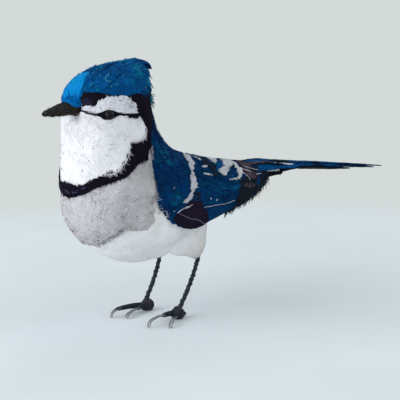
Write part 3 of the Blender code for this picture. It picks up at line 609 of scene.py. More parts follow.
# Face: white cloth over cheeks and throat, from the beak to the collar. Its cut edge lies on the
# black at the cheek, where it has frayed.
NOSE = 0.35
FACE_TOP = [(NOSE, 108), (0.6, 106), (1.05, 102), (2.1, 95), (3.2, 90), (4.0, 84), (4.5, 82), (5.0, 78),
            (5.55, 72), (6.65, 65)]
FACE_EDGE = [(6.6, 65.5), (6.75, 69), (6.58, 75), (6.22, 84), (5.68, 93), (6.02, 98), (6.05, 106),
             (5.95, 115), (5.45, 127), (5.10, 140), (5.0, 150), (4.95, 158), (4.80, 170), (4.72, 180)]
white = cloth("white_cloth", (0.84, 0.84, 0.89), (0.62, 0.63, 0.71), (0.90, 0.90, 0.93), slub=0.6, size=10.0,
              sharp=3.0, cloud=0.35, streaks=0.3, relief=0.18, fleck_and_gap_shade=0.86, crease=0.22, sheen=0.05)


def on_seam(seam, t):
    """Angle on a seam at section t."""
    seam = np.array(seam)
    return np.interp(t, seam[:, 0], seam[:, 1])


ends = refine(FACE_EDGE, 150)
share = (ends[:, 1] - on_seam(FACE_TOP, ends[:, 0])) / (180 - on_seam(FACE_TOP, ends[:, 0]))
share = np.maximum.accumulate(np.clip(share, 0, 1))
share[0] = 0.0
outward = np.linspace(0, 1, 76)
at = 0.55 * np.arange(150)
rag = 0.12 * ripple(at, 1.0, 40) + 0.09 * ripple(at, 2.7, 41)
t = NOSE - 0.1 + (ends[:, 0:1] + 0.06 + rag[:, None] * outward ** 6 - NOSE + 0.1) * outward
high = on_seam(FACE_TOP, t)
a = high + (180 - high) * share[:, None]
t, a = np.concatenate([t, t[-2::-1]]), np.concatenate([a, 360 - a[-2::-1]])
hollow = 2.0 * np.exp(-((t - 0.8) / 0.6) ** 2 - ((np.minimum(a, 360 - a) - 120) / 18) ** 2)
cheek = np.clip((124 - np.minimum(a[:, -1:], 360 - a[:, -1:])) / 12, 0, 1)
sew_on("face", t, a, white, ["face_patch"], lift=0.3 + hollow + 0.75 * outward ** 8 * cheek,
       thickness=0.6, seed=42, crease=0.32)
nap("face_nap", t, a, 3000, 1.3, white, 43, 1.0)
spots = edge_run(FACE_EDGE[:9], 240, 44, 0.01)
for side, sign in SIDES:
    fray(side + "_cheek_fray", spots - [0.06, 0], rearward(spots, 1.5), 2.2, 45, 1.75,
         np.linspace(0.13, 0.05, 5), white, sign=sign, stand=0.2)
specks = np.array([(4.54, 114), (4.66, 108), (2.80, 148), (5.16, 98), (3.22, 155), (4.18, 154), (4.4, 111),
                   (3.5, 131), (3.9, 142), (4.7, 119)])
specks = np.concatenate([specks, specks * [1, -1] + [0.1, 360]])
stitch("face_stitches", specks, 0.8, 0.2, 46, 0.95, draw.uniform(0.08, 0.17, (len(specks), 1)),
       dark_thread)


# Collar: a closed band of black cloth from the throat past the cheeks to the nape. Its edges are
# worked over with black satin stitches that reach into the white like teeth.
NAPE_T, NAPE_BOW = 7.3, 0.35
CAP_EDGE = [(0.90, 27), (1.16, 36), (1.60, 49), (2.24, 58), (2.72, 63), (3.16, 65.5), (4.12, 64.5),
            (4.68, 61.5), (5.02, 58.5), (5.44, 51), (5.9, 40), (6.25, 30), (6.38, 18), (6.43, 9)]
CAP_MIDDLE = [2.10, 2.2, 2.45, 2.75, 3.1, 3.4, 4.0, 4.45, 4.8, 5.2, 5.6, 5.9, 6.2, 6.44]
black = cloth("black_cloth", (0.007, 0.005, 0.009), (0.018, 0.010, 0.016), (0.010, 0.011, 0.026), slub=0.6,
              size=7.0, sharp=3.0, relief=0.3, gloss=0.02)
nape_in = [(6.25, 0), (6.25, 8), (6.2, 18), (6.05, 30), (5.7, 40), (5.3, 49), (4.9, 56), (4.5, 61),
           (4.2, 63.5), (4.3, 66.5), (4.55, 69), (4.95, 71.5), (5.3, 73.5), (5.9, 69)]
nape_out = np.array([0, 6, 13, 20, 28, 36, 42, 46, 50, 53, 56, 59, 62, 65])
nape_rim = np.stack([NAPE_T - NAPE_BOW * (1 - (nape_out / 67) ** 2) + 0.25, nape_out], axis=1)
inner = mirrored(np.concatenate([nape_in, FACE_EDGE[1:]]))[:-1]
outer = mirrored(np.concatenate([nape_rim, refine(COLLAR_EDGE, 13)]))[:-1]


def refine_loop(rows, count):
    """Count points on a smooth closed curve through rows of t and a, whose angle grows by 360."""
    more = np.array([0.0, 360.0])
    wide = np.concatenate([rows[-2:] - more, rows, rows[:3] + more])
    return spline(wide, 2 + np.linspace(0, len(rows), count, endpoint=False))


t, a = between(refine_loop(inner, 900), refine_loop(outer, 900), 26, rag=(1.5, 0.7), seed=50)
sew_on("collar", t, a, black, ["black_collar"], lift=0.95, thickness=0.65, seed=51,
       closed=True, crease=0.2, edge=1)
for name, rows, count, outward, reach in (("collar_upper_stitches", FACE_EDGE[5:], 420, -1, 2.0),
                                         ("collar_lower_stitches", COLLAR_EDGE, 380, 1, 1.3)):
    spots = edge_run(mirrored(rows), count, 52 + outward)
    gather = lumps(np.stack([spots[:, 1] * 0.45, spots[:, 0], 0 * spots[:, 0]], axis=1), 1.5, 53)
    fray(name, spots - [0.09 * outward, 0], rearward(spots) * outward,
         reach * np.clip(0.5 + 0.9 * gather, 0.1, 1.4) + 1.6, 54, 1.6, [0.28, 0.28, 0.24, 0.18, 0.08],
         dark_thread, sides=4, stand=-0.1, curl=0.15)
violet = cloth("violet_thread", (0.05, 0.05, 0.11), (0.10, 0.09, 0.17), (0.03, 0.03, 0.07), thread=0.3,
               slub=0.4, size=12.0, streaks=0.4, relief=0.1)
spots = edge_run([(5.1, 150), (5.1, 180), (5.1, 210)], 26, 55, 0.03)
stitch("collar_satin_stitches", spots, 2.2, 0.9, 56, 1.45, 0.2, violet)


# Brow and stripe over each eye: a pale lilac leaf of cloth between the beak and the nape, with a
# black stripe above it that runs back into the collar, and a dark indigo scrap ahead of both.
BROW_TOP = [(0.2, 96), (0.32, 88), (0.64, 82), (0.98, 82.5), (1.36, 83), (1.68, 83), (1.93, 80), (2.02, 75),
            (2.07, 71), (2.22, 69.5), (2.50, 68.5), (2.86, 66.5), (3.32, 65), (3.80, 65), (4.25, 66),
            (4.55, 68.5), (4.90, 70.5), (5.16, 72.5), (5.32, 74)]
lilac = cloth("lilac_cloth", (0.80, 0.81, 0.91), (0.66, 0.68, 0.77), (0.86, 0.87, 0.93), sharp=3.5,
              cloud=0.45, relief=0.22, fleck_and_gap_shade=0.8, crease=0.3, sheen=0.04)
indigo = cloth("indigo_cloth", (0.017, 0.017, 0.040), (0.030, 0.022, 0.050), (0.008, 0.007, 0.014),
               thread=0.5, size=4.0, relief=0.25, gloss=0.02)
at = np.linspace(0.24, 5.3, 110)
top_line = np.stack([at, on_seam(BROW_TOP, at)], axis=1)
low_line = np.stack([at, np.maximum(on_seam(FACE_TOP, at) - 1.2 - 2.5 * np.exp(-at * 2.2),
                                    on_seam(BROW_TOP, at) + 0.4)], axis=1)
t, a = between(top_line, low_line, 26, rag=(1.0, 0.3), seed=60)
at = np.linspace(0.1, 4.3, 80)
st, sa = between(np.stack([at, on_seam([(0.1, 40), (0.5, 30)] + CAP_EDGE[:7], at) - 2.5], axis=1),
                 np.stack([at, on_seam(BROW_TOP, at) + 3.0], axis=1), 20)
specks = np.stack([draw.uniform(1.6, 5.1, 24), np.zeros(24)], axis=1)
specks[:, 1] = on_seam(BROW_TOP, specks[:, 0]) + draw.choice([1.0, 3.0, 6.0], 24, p=[0.6, 0.2, 0.2])
lore_t, lore_a = strip([(0.42, 50, 0.22, 72), (0.70, 47, 0.60, 78), (1.02, 56, 1.00, 79),
                        (1.36, 65, 1.38, 80), (1.60, 74, 1.60, 79)], 50, 20, (0.5, 0.5), 65)
for side, sign in SIDES:
    sew_on(side + "_lore", lore_t, lore_a * sign, indigo, lift=0.75, thickness=0.35, seed=66,
           crease=0.2, edge=1)
    sew_on(side + "_brow", t, a * sign, lilac, [side + "_brow_patch"], lift=0.7, thickness=0.6,
           seed=61)
    nap(side + "_brow_nap", t, a * sign, 420, 1.2, lilac, 62, 1.25)
    sew_on(side + "_stripe", st, sa * sign, black, [side + "_lore_stripe"], lift=0.2,
           thickness=0.5, seed=63, crease=0.15)
    stitch(side + "_brow_stitches", specks, 0.9, 1.2, 64, 1.3, 0.11, dark_thread, sign=sign)


# Eye: an almond of black cloth under the brow, thin lines of satin stitches ahead and behind it,
# and a glossy black bead sewn on its middle.
EYE_T, EYE_A = 3.2, 90.0
BEAD_HALF, BEAD_HIGH = 2.9, 2.4
ALMOND = [(-1.12, 5.9, 6.9), (-0.85, 2.6, 7.6), (-0.6, -0.8, 7.8), (-0.3, -5.0, 8.0), (0.0, -6.6, 6.0),
          (0.3, -6.8, 3.0), (0.5, -6.6, -1.0), (0.72, -6.6, -4.4), (0.95, -6.6, -6.0)]
et, ea = strip([(EYE_T + r[0], EYE_A + r[1], EYE_T + r[0], EYE_A + r[2]) for r in ALMOND], 60, 18,
               (0.15, 0.15), 70)
LASHES = [([(0.2, 107), (0.6, 106.2), (1.16, 103.5), (2.0, 98), (2.4, 96)], 34),
          ([(0.2, 108), (0.6, 107.4), (1.1, 105)], 12),
          ([(4.0, 84), (4.25, 83.2)], 4),
          ([(4.5, 81.8), (4.82, 80), (5.24, 75.5), (5.75, 68)], 22),
          ([(4.6, 82.2), (4.9, 80.5), (5.3, 76.5)], 12)]
lash = np.concatenate([refine(rows, count) for rows, count in LASHES])
bead_glass = cloth("bead", (0.003, 0.003, 0.004), (0.006, 0.005, 0.004), (0.004, 0.004, 0.005), thread=0.7,
                   slub=0.4, size=12.0, streaks=0.4, relief=0.0, gloss=0.16, rough=0.08)


def globe(heights, columns):
    """Rings of points on a ball with a radius of one, at angles over its middle."""
    e, r = np.meshgrid(heights, np.linspace(0, 2 * np.pi, columns, endpoint=False), indexing="ij")
    return np.stack([np.cos(e) * np.cos(r), np.cos(e) * np.sin(r), np.sin(e)], axis=-1)


dome = globe(np.linspace(-0.35, np.pi / 2, 16)[:-1], 40) * [BEAD_HALF, BEAD_HALF, BEAD_HIGH]
points, faces = ringed(dome, (0, 0, -0.8), (0, 0, BEAD_HIGH))
for side, sign in SIDES:
    sew_on(side + "_eye_almond", et, ea * sign, black, [side + "_eye_patch"], lift=1.1,
           thickness=0.5, seed=71, crease=0.06)
    stitch(side + "_eye_line", lash, 2.1, 0.12, 72, 1.3, 0.40, dark_thread, sign=sign)
    place = np.array([EYE_T]), np.array([EYE_A * sign])
    up = Vector(skin_normal(*place)[0])
    turn = np.array(up.to_track_quat("Z", "Y").to_matrix())
    put_mesh(side + "_bead_eye", points @ turn.T + skin(*place)[0] + np.array(up) * 1.5, faces,
             bead_glass, stands_for=[side + "_eye"])


# Crown: a cap of royal blue cloth with leaf-shaped scraps of darker blue and teal sewn flat on it,
# all pointing back. Its rear edge is frayed.
royal = cloth("royal_cloth", (0.001, 0.080, 0.270), (0.001, 0.130, 0.40), (0.001, 0.040, 0.15), size=8.0,
              cloud=0.6)
navy = cloth("navy_cloth", (0.001, 0.038, 0.155), (0.001, 0.090, 0.190), (0.001, 0.016, 0.065), thread=0.7,
             size=10.0, sharp=4.5, cloud=0.4, streaks=0.6, relief=0.4)
teal = cloth("teal_cloth", (0.002, 0.100, 0.200), (0.003, 0.190, 0.260), (0.001, 0.050, 0.130), slub=0.7,
             cloud=0.6)

DYES = [(0.0, (0.001, 0.012, 0.045)), (0.25, (0.001, 0.030, 0.135)), (0.5, (0.001, 0.055, 0.235)),
        (0.75, (0.001, 0.090, 0.235)), (1.0, (0.002, 0.150, 0.290))]
dyed = cloth("dyed_scraps", None, None, (0.001, 0.020, 0.085), cloud=0.12, streaks=0.35, bands=DYES)
CAP_DYES = [(0.0, (0.001, 0.030, 0.120)), (0.25, (0.001, 0.075, 0.250)), (0.5, (0.001, 0.120, 0.400)),
            (0.75, (0.001, 0.175, 0.350)), (1.0, (0.006, 0.260, 0.430))]
cap_dyed = cloth("dyed_cap_scraps", None, None, (0.001, 0.045, 0.190), cloud=0.12, streaks=0.35,
                 bands=CAP_DYES)


def leaves(name, t, a, draw, turn, length, width, lift, rise, seed, slot, material, dye_and_light, *, ragged, curl=0.6,
           table=BODY, sign=1):
    """A piece of leaf-shaped scraps that start at t, a and point to the rear, turned by a spread of
    turn radians. length and width are least and most, lift grows by up to rise, and dye is least and
    most or a function that draws one value a scrap. A leaf is width sin(pi s^0.7) wide at s of its
    length, follows the skin and lifts at its tip by curl."""
    n, rows, columns = len(t), 9, 5
    turn, length, width = draw.normal(0, turn, n), draw.uniform(*length, n), draw.uniform(*width, n)
    lift = lift + draw.uniform(0, rise, n)
    shade = dye_and_light(draw) if callable(dye_and_light) else draw.uniform(*dye_and_light, n)
    own, a = draws(seed), a * sign
    base = skin(t, a, table)
    per_t = np.linalg.norm(skin(t + 0.05, a, table) - base, axis=-1) / 0.05
    per_a = np.linalg.norm(skin(t, a + 1.0, table) - base, axis=-1)
    t, a, turn, length, width, lift, per_t, per_a = (
        k[:, None, None] for k in (t, a, turn, length, width, lift, per_t, per_a))
    s, v = np.meshgrid(np.linspace(0, 1, rows), np.linspace(-1, 1, columns), indexing="ij")
    half = (np.sin(np.pi * (0.06 + 0.94 * s) ** 0.7) * 0.5 + 0.04) * width
    half = half * (1 + ragged * own.uniform(-0.5, 0.5, (n, rows, columns)))
    x, y = length * s, half * v
    tt = t + (x * np.cos(turn) - y * np.sin(turn)) / per_t
    aa = a + (x * np.sin(turn) + y * np.cos(turn)) / per_a
    last = len(table) - 1
    height = (lift + curl * s ** 2 * own.uniform(0.2, 1.0, (n, 1, 1)) - 0.12 * v ** 2)[..., None]
    low, up = skin(np.clip(tt, 0, last), aa, table), skin_normal(np.clip(tt, 0.03, last - 0.03), aa, table)
    top, under = low + up * height, low + up * (height - 0.35)
    points = np.concatenate([top.reshape(n, -1, 3), under.reshape(n, -1, 3)], axis=1)
    size = 2 * rows * columns
    first = np.arange(n)[:, None, None] * size
    faces = [(block[None] + first).reshape(-1, 4) for block in shell(top[0], under[0])[1]]
    uv = np.stack([np.concatenate([k.reshape(n, -1)] * 2, axis=1).ravel() for k in (x, y)], axis=1)
    put_mesh(name, points.reshape(-1, 3), faces, material, uv, np.repeat(shade, size))


def strew(count, seed, first, last, reach):
    """Random places between two sections, over the angles that reach gives at a section."""
    draw = draws(seed)
    t = np.sort(draw.uniform(first, last, count))
    return t, draw.uniform(-1, 1, count) * reach(t), draw


def areas(t, a, draw, middle, size=12.0, table=BODY):
    """Dye of scraps in soft areas, long from front to rear, so that neighbours nearly match."""
    place = skin(t, a, table) * [1.0, 0.45, 1.0]
    return np.clip(middle + 0.8 * lumps(place, size, 300) + draw.normal(0, 0.08, len(t)), 0, 1)


t, a = saddle(CAP_EDGE, CAP_MIDDLE, 110, 130, 0.8, 80)
rear = np.clip(1 - np.abs(t - 5.3) / 1.2, 0, 1)
sew_on("crown", t, a, royal, ["crown_cap"], lift=0.6 + 0.3 * rear, thickness=0.8, seed=81,
       crease=0.4)
nap("crown_nap", t, a, 2300, 1.6, royal, 82, 1.7)
cap_reach = lambda t: np.interp(t, [1.0, 2.0, 3.4, 4.75, 5.4], [26, 50, 60, 58, 46])
for name, count, seed, low, high, rise in (("crown_scraps", 130, 83, 6, 12, 0.35),
                                           ("crown_top_scraps", 60, 84, 4, 9, 0.6)):
    t, a, draw = strew(count, seed, 1.3, 5.5, cap_reach)
    leaves(name, t, a, draw, 0.45, (low, high), (0.35 * high, 0.65 * high), 1.35, rise, seed, "blue_cloth",
           cap_dyed, lambda draw: areas(t, a, draw, 0.45), curl=0.45, ragged=0.8)
rim = np.concatenate([[(2.5, -8), (2.62, 6), (3.3, 2), (3.9, 4), (4.3, -4), (4.5, 3)],
                      draw.uniform((4.6, -38), (5.7, 38), (34, 2))])
leaves("crown_rim_scraps", *rim.T, draw, 0.3, (4.5, 8), (2.2, 4.5), 1.4, 0.4, 85, "blue_cloth", cap_dyed,
       (0.2, 0.75), curl=2.6, ragged=1.0)
stitch("crown_stitches", np.stack(strew(170, 86, 1.4, 5.6, cap_reach)[:2], axis=1), 2.2, 0.0, 87, 1.95, 0.11,
       cap_dyed, draws(88).uniform(0.05, 0.8, 170), stand=0.25)
bits = np.array([(2.2, 10), (2.45, 14), (2.78, 8), (2.80, 16), (2.96, 16), (2.98, 32), (2.96, 54), (1.9, 38),
                 (2.6, 28), (3.3, 52), (4.36, 30), (4.26, 17), (3.7, 40), (1.35, 33), (5.2, 50)])
cyan = cloth("cyan_thread", (0.05, 0.36, 0.55), (0.16, 0.50, 0.60), (0.04, 0.26, 0.30), thread=0.7, slub=0.4,
             size=12.0, streaks=0.4, relief=0.1)
stitch("crown_pale_threads", np.concatenate([bits, bits * [1, -1]]), 1.7, 0.4, 89, 2.1, 0.15,
       cyan)
ring = np.radians(np.linspace(60, 300, 24))
curl_t, curl_a = 2.9 + 0.16 * np.cos(ring), 40 + 5.5 * np.sin(ring)
path = skin(curl_t, curl_a) + skin_normal(curl_t, curl_a) * 2.1
for side, sign in SIDES:
    put_threads(side + "_crown_curl", path[None], 0.22, cyan, sign=sign)
hem = np.array(CAP_EDGE[8:] + [(6.45, 0)] + [(t, -a) for t, a in CAP_EDGE[:7:-1]])
spots = edge_run(hem, 330, 90, 0.015)
fray("crown_fray", spots - [0.12, 0], rearward(spots), 3.2, 91, 1.5, np.linspace(0.2, 0.07, 5),
     cap_dyed, draws(92).uniform(0, 0.9, 330), stand=1.0, curl=0.6)
spots = edge_run([(2.6, 6), (3.3, 4), (4.0, 4), (4.6, 8), (5.0, 16), (5.3, 26), (5.7, 33), (6.0, 38)], 60, 93,
                 0.05)
fray("crown_loose_threads", np.concatenate([spots, spots * [1, -1]]), (0.0, 0.8, 0.5), 3.0, 94, 1.6,
     np.linspace(0.16, 0.06, 5), cap_dyed, draws(95).uniform(0.2, 1.0, 120), stand=1.0,
     curl=0.6)
spots = np.concatenate([edge_run([(6.25, 36), (6.32, 40), (6.5, 42)], 34, 96, 0.03),
                        edge_run([(6.3, -36), (6.4, -42)], 16, 97, 0.03)])
fray("nape_tuft", spots, (0.2, 0.9, -0.3), 6.4, 98, 1.4, np.linspace(0.24, 0.08, 5), teal,
     draws(99).uniform(0.4, 1.0, 50), sides=4, stand=1.3)


# Crest: stiff pointed scraps laid over each other at the top rear of the cap, royal blue in front
# and dark teal behind, with uneven edges.
def stiff_scrap(name, rows, slot, material, seed, stands_for=(), side=0.0, wavy=(0.12, 1.8), rough=0.2,
                tone=(0.0, 0.4, 5)):
    """A scrap through rows of y, z, half width and fall, with a wavy outline: x = side + half width v,
    and z falls towards the sides by fall v squared. tone is the mean, spread and size of its dye."""
    y, z, half, fall = refine(rows, 60).T[..., None]
    v = np.linspace(-1, 1, 20)[None, :]
    wave = 1 + wavy[0] * lumps(np.stack(np.broadcast_arrays(y, 9 * np.sign(v), 0 * v), axis=-1), wavy[1],
                               seed)
    top = np.stack(np.broadcast_arrays(side + half * v * wave, y, z - fall * v ** 2), axis=-1)
    top = top + [0, 0, rough] * lumps(top, 2.5, seed + 1)[..., None]
    points, faces, uv = shell(top, top - np.array([0, 0, 0.8]))
    dye_and_light = tone[0] + tone[1] * lumps(points, tone[2], seed + 2)
    put_mesh(name, points, faces, material, uv, dye_and_light, stands_for)


STIFF = dict(wavy=(0.2, 1.4), rough=0.25, tone=(0.55, 0.3, 3))
stiff_scrap("crest", [(-91, 163.0, 5.0, 1.5), (-85, 164.9, 6.0, 1.8), (-81, 165.2, 7.0, 2.1),
                      (-76.5, 164.3, 6.0, 1.8), (-72.5, 162.3, 3.8, 1.14), (-69.3, 159.3, 1.0, 0.3)],
            "blue_cloth", dyed, 200, ["crest_tuft"], **STIFF)
stiff_scrap("crest_low", [(-92, 161.3, 9.0, 3.15), (-86, 162.3, 10.0, 3.5), (-80, 161.9, 9.0, 3.15),
                          (-76, 160.3, 6.5, 2.275), (-73, 157.8, 3.6, 1.26), (-71.3, 156.0, 1.0, 0.35)],
            "blue_cloth", dyed, 203, **STIFF)
stiff_scrap("crest_front", [(-99, 162.8, 3.0, 0.36), (-92, 164.3, 5.0, 0.6), (-86, 165.3, 3.6, 0.432),
                            (-81.5, 165.8, 0.7, 0.084)], "blue_cloth", cap_dyed, 209, **STIFF)
stiff_scrap("crest_teal", [(-80, 164.8, 2.0, 0.24), (-76, 164.2, 3.2, 0.384), (-72.5, 162.6, 2.4, 0.288),
                           (-69.5, 159.7, 0.7, 0.084)], "navy_cloth", navy, 212, **STIFF)


# Forehead: a vivid azure scrap that widens down to the root of the beak, with smaller scraps on it, and a
# deeper blue tuft laid over the root. The smaller scraps carry painted light down the middle and painted
# shade at the sides.
azure = cloth("azure_cloth", (0.001, 0.270, 0.72), (0.001, 0.150, 0.52), (0.01, 0.36, 0.76), thread=0.55,
              sharp=3.0, streaks=0.4, relief=0.3)
rows = refine([(-64, 0.45, 46, 0.05, 0.0), (-68, 0.8, 36, 0.35, 0.35), (-66, 1.05, 30, 0.80, 0.85),
               (-56, 1.3, 24, 1.22, 1.35), (-40, 1.55, 17, 1.60, 1.8), (-20, 1.95, 11, 1.9, 2.15),
               (-8, 2.4, 5, 2.4, 2.5)], 80)
right_a, right_t, left_a, left_t, middle_t = rows.T[..., None]
v = np.linspace(0, 1, 70)[None, :]
a = right_a + (left_a - right_a) * v + ripple(0.4 * np.arange(80), 1.0, 100)[:, None] * (2 * v - 1)
t = right_t * (1 - v) ** 2 + left_t * v ** 2 + 2 * v * (1 - v) * (1.5 * middle_t - 0.25 * (right_t + left_t))
t = np.clip(t, 0.02, 3)
sew_on("forehead", t, a, azure, ["forehead_patch"], lift=0.3 + np.clip((t - 0.5) / 0.8, 0, 1),
       thickness=0.8, seed=101, crease=0.35)
nap("forehead_nap", t, a, 500, 1.2, azure, 102, 1.2)
# Azure ramp from deep to light; on the forehead scraps its lighter and darker stops also serve as painted
# light and shade.
AZURES = [(0.0, (0.001, 0.050, 0.26)), (0.3, (0.001, 0.120, 0.46)), (0.65, (0.001, 0.250, 0.68)),
          (1.0, (0.02, 0.40, 0.80))]
azure_dyed_and_lit = cloth("dyed_and_lit_forehead_scraps", None, None, (0.001, 0.16, 0.50), thread=0.55, size=4.0, cloud=0.15,
                   streaks=0.3, bands=AZURES)
draw = draws(116)
at = np.sort(draw.uniform(0.35, 1.75, 44))
left = np.interp(at, [0.45, 1.3, 1.75], [28, 10, 2])
right = np.interp(at, [0.45, 1.05, 1.55, 2.4], [-60, -62, -36, -6])
around = right + (left - right) * draw.uniform(0, 1, 44)
# Scraps are lighter in a middle band, painted light where the forehead faces the light, darker towards both
# sides, painted shade, and a deeper royal towards the top, which is their own colour.
lit_band_and_tone = 0.9 - 0.7 * np.abs(around + 14) / 40 - 0.45 * np.clip(at - 1.5, 0, 1) + draw.normal(0, 0.10, 44)
leaves("forehead_scraps", at, around, draw, 0.25, (4.5, 7.5), (2.4, 4.2),
       0.9 + np.clip((at - 0.5) / 0.8, 0, 1), 0.3, 117, "azure_cloth", azure_dyed_and_lit,
       lambda draw: np.clip(lit_band_and_tone, 0, 1), curl=0.45, ragged=0.9)
BEAK_ROOT, BEAK_LENGTH, BEAK_DROOP = (-127.1, 137.4), 22.9, 3.4
BEAK_HALF, BEAK_HIGH = 5.2, 5.0


def beak_points(u, turn, more=0.0):
    """Points of the beak at u of its length and a turn around it: half its width and half its height,
    times the root of 1 - 0.985 u^1.3, and flatter below."""
    size = np.sqrt(np.clip(1 - 0.985 * np.clip(u, 0, 1) ** 1.3, 0, 1))
    flat = np.where(np.sin(turn) < 0, 0.84, 1.0)
    return np.stack([(BEAK_HALF * size + more) * np.cos(turn), BEAK_ROOT[0] - BEAK_LENGTH * u + 0 * turn,
                     BEAK_ROOT[1] - BEAK_DROOP * u + (BEAK_HIGH * size + more) * np.sin(turn) * flat],
                    axis=-1)


def hairs(name, start, lay, thick, material, dye_and_light, sag=(0, 0, 0), sides=3):
    """Free hairs: start + lay s + sag s squared. thick holds their radii from root to tip."""
    s = np.linspace(0, 1, len(thick))[None, :, None]
    put_threads(name, start[:, None] + lay[:, None] * s + np.array(sag) * s ** 2, thick, material, dye_and_light,
                sides=sides)


turn = np.radians(np.linspace(6, 174, 60))[:, None]
v = np.linspace(-0.16, 1, 30)[None, :]
reach = 0.10 + 0.24 * np.sin(turn) ** 0.7 + 0.03 * ripple(turn[:, 0] * 3, 0.5, 103)[:, None]
top = beak_points(reach * v, turn, 0.5 + 1.5 * np.clip(1 - v, 0.1, 1) ** 0.5)
top = top + 0.3 * lumps(top, 2.0, 104)[..., None] * np.array([0.3, 1.0, 0.5])
points, faces, uv = shell(top, beak_points(reach * v, turn, 0.1))
deep = cloth("deep_azure_cloth", (0.001, 0.170, 0.56), (0.001, 0.240, 0.70), (0.001, 0.095, 0.42),
             thread=0.55, size=4.0, sharp=3.0, streaks=0.4, relief=0.3)
put_mesh("forehead_tuft", points, faces, deep, uv, 0.4 * lumps(points, 2.5, 105))
turn = draw.uniform(0.25, 2.9, 150)
start = beak_points(np.full(150, -0.05) + draw.uniform(0, 0.26, 150) * np.sin(turn), turn, 1.8)
lay = np.stack([draw.normal(0, 0.5, 150), -draw.uniform(0.6, 2.4, 150), draw.normal(-0.2, 0.5, 150)], axis=-1)
hairs("forehead_tuft_fibres", start, lay, np.linspace(0.22, 0.1, 5), azure_dyed_and_lit,
      draw.uniform(0.1, 0.85, 150), (0, -0.2, -0.5), 4)
spots = edge_run([(1.98, 8), (1.66, 17), (1.34, 23), (0.90, 29), (0.5, 33)], 70, 106, 0.02)
for side, sign in SIDES:
    stitch(side + "_forehead_fray", spots, 2.2, 0.3, 107, 1.95, 0.10, azure,
           np.linspace(-0.5, 0.2, 70), sign, stand=0.5)


# Beak: a blunt cone of dark felt, its upper edge straight and the tip a little low, with loose
# brown fibres around its root.
felt = cloth("beak_felt", (0.043, 0.049, 0.047), (0.085, 0.045, 0.035), (0.075, 0.080, 0.074), thread=0.5,
             slub=1.0, size=3.0, sharp=4.5, cloud=0.3, streaks=0.65, relief=0.7, crease=0.3)
u, turn = np.linspace(-0.05, 1, 70)[:, None], np.linspace(0, 2 * np.pi, 60, endpoint=False)[None, :]
cone = beak_points(u, turn)
cone = beak_points(u, turn, 0.35 * lumps(cone, 2.6, 110) + 0.28 * lumps(cone, 1.1, 111) - 0.1)
points, faces = ringed(cone, (0, -125.9, 137.5), (0, -149.95, 134.0))
cone_uv = np.stack(np.broadcast_arrays(u * 23, turn * 5), axis=-1).reshape(-1, 2)
put_mesh("beak_cone", points, faces, felt, np.concatenate([cone_uv, [(0, 0), (23, 0)]]),
         0.9 * np.exp(-((points[:, 1] + 128) / 3.5) ** 2) * (points[:, 2] < 138), ["beak"])
draw = draws(112)
u, turn = draw.uniform(-0.02, 0.95, 420), draw.uniform(0, 2 * np.pi, 420)
start = beak_points(u, turn)
lay = np.stack([draw.normal(0, 0.4, 420), draw.uniform(0.4, 1.6, 420), draw.normal(0, 0.4, 420)], axis=-1)
lay = lay + (beak_points(u, turn, 1.0) - start) * draw.uniform(0.2, 0.7, (420, 1))
hairs("beak_fibres", start, lay, [0.07, 0.07, 0.05, 0.03], felt, draw.uniform(-0.3, 0.8, 420))
turn = draw.uniform(np.pi + 0.1, 2 * np.pi - 0.1, 90)
hang = np.stack([draw.normal(0, 0.6, 90), draw.normal(0.3, 0.7, 90), -draw.uniform(0.3, 1.3, 90)], axis=-1)
hairs("beak_root_fibres", beak_points(np.full(90, -0.02), turn, 0.4), hang, [0.10, 0.10, 0.07, 0.04],
      felt, draw.uniform(0.0, 0.9, 90), (0, -0.5, 0))


# Mantle: blue cloth over neck and shoulders down to the wings. The front edge is raw over the
# breast, with pale loose threads, and small white stitches hold it low down.
WING_FRONT = 9.46
MANTLE_EDGE = [(7.2, 60), (7.45, 64), (7.72, 70), (8.0, 75), (8.25, 79), (8.45, 84), (8.58, 90), (8.85, 94.5),
               (9.3, 97), (9.6, 100)]
MANTLE_MIDDLE = [6.95, 7.2, 7.45, 7.75, 8.0, 8.3, 8.6, 8.9, 9.25, 9.6]
blue = cloth("blue_cloth", (0.001, 0.046, 0.165), (0.001, 0.100, 0.190), (0.001, 0.022, 0.090), size=6.0,
             streaks=0.6, relief=0.4)


def teal_spot(points):
    """Teal low on the shoulder, in a cloud at the neck and in small patches."""
    near = np.exp(-(points[:, 1] + 73) ** 2 / 40 - (points[:, 2] - 80) ** 2 / 16)
    neck = np.exp(-((points[:, 1] + 52) ** 2 + (points[:, 2] - 100) ** 2) / 50)
    return 1.7 * near + 0.3 * neck - 0.1


t, a = saddle(MANTLE_EDGE, MANTLE_MIDDLE, 130, 170, 0.9, 120)
sew_on("mantle", t, a, navy, ["mantle_patch"], lift=0.7, thickness=0.9, seed=121, crease=0.4,
       dye_and_light=teal_spot)
nap("mantle_nap", t, a, 2300, 1.7, navy, 122, 1.6)
mantle_reach = lambda t: np.interp(t, [7.2, 7.8, 8.4, 9.0, 9.5], [50, 62, 76, 86, 92])
for name, count, seed, low, high, middle in (("mantle_scraps", 210, 123, 4, 9, 0.33),
                                             ("mantle_top_scraps", 120, 124, 3, 7, 0.42)):
    t, a, draw = strew(count, seed, 7.3, 9.5, mantle_reach)
    leaves(name, t, a, draw, 0.35, (low, high), (0.22 * high, 0.45 * high), 1.3, 0.45, seed, "navy_cloth",
           dyed, lambda draw: np.clip(areas(t, a, draw, middle) + 0.5 * teal_spot(skin(t, a)), 0, 1),
           curl=0.35, ragged=0.8)
t, a, draw = strew(420, 125, 7.3, 9.5, mantle_reach)
stitch("mantle_threads", np.stack([t, a], axis=1), 2.6, 0.0, 126, 2.0, 0.13, dyed,
       draw.uniform(0, 1.0, 420), stand=0.25)
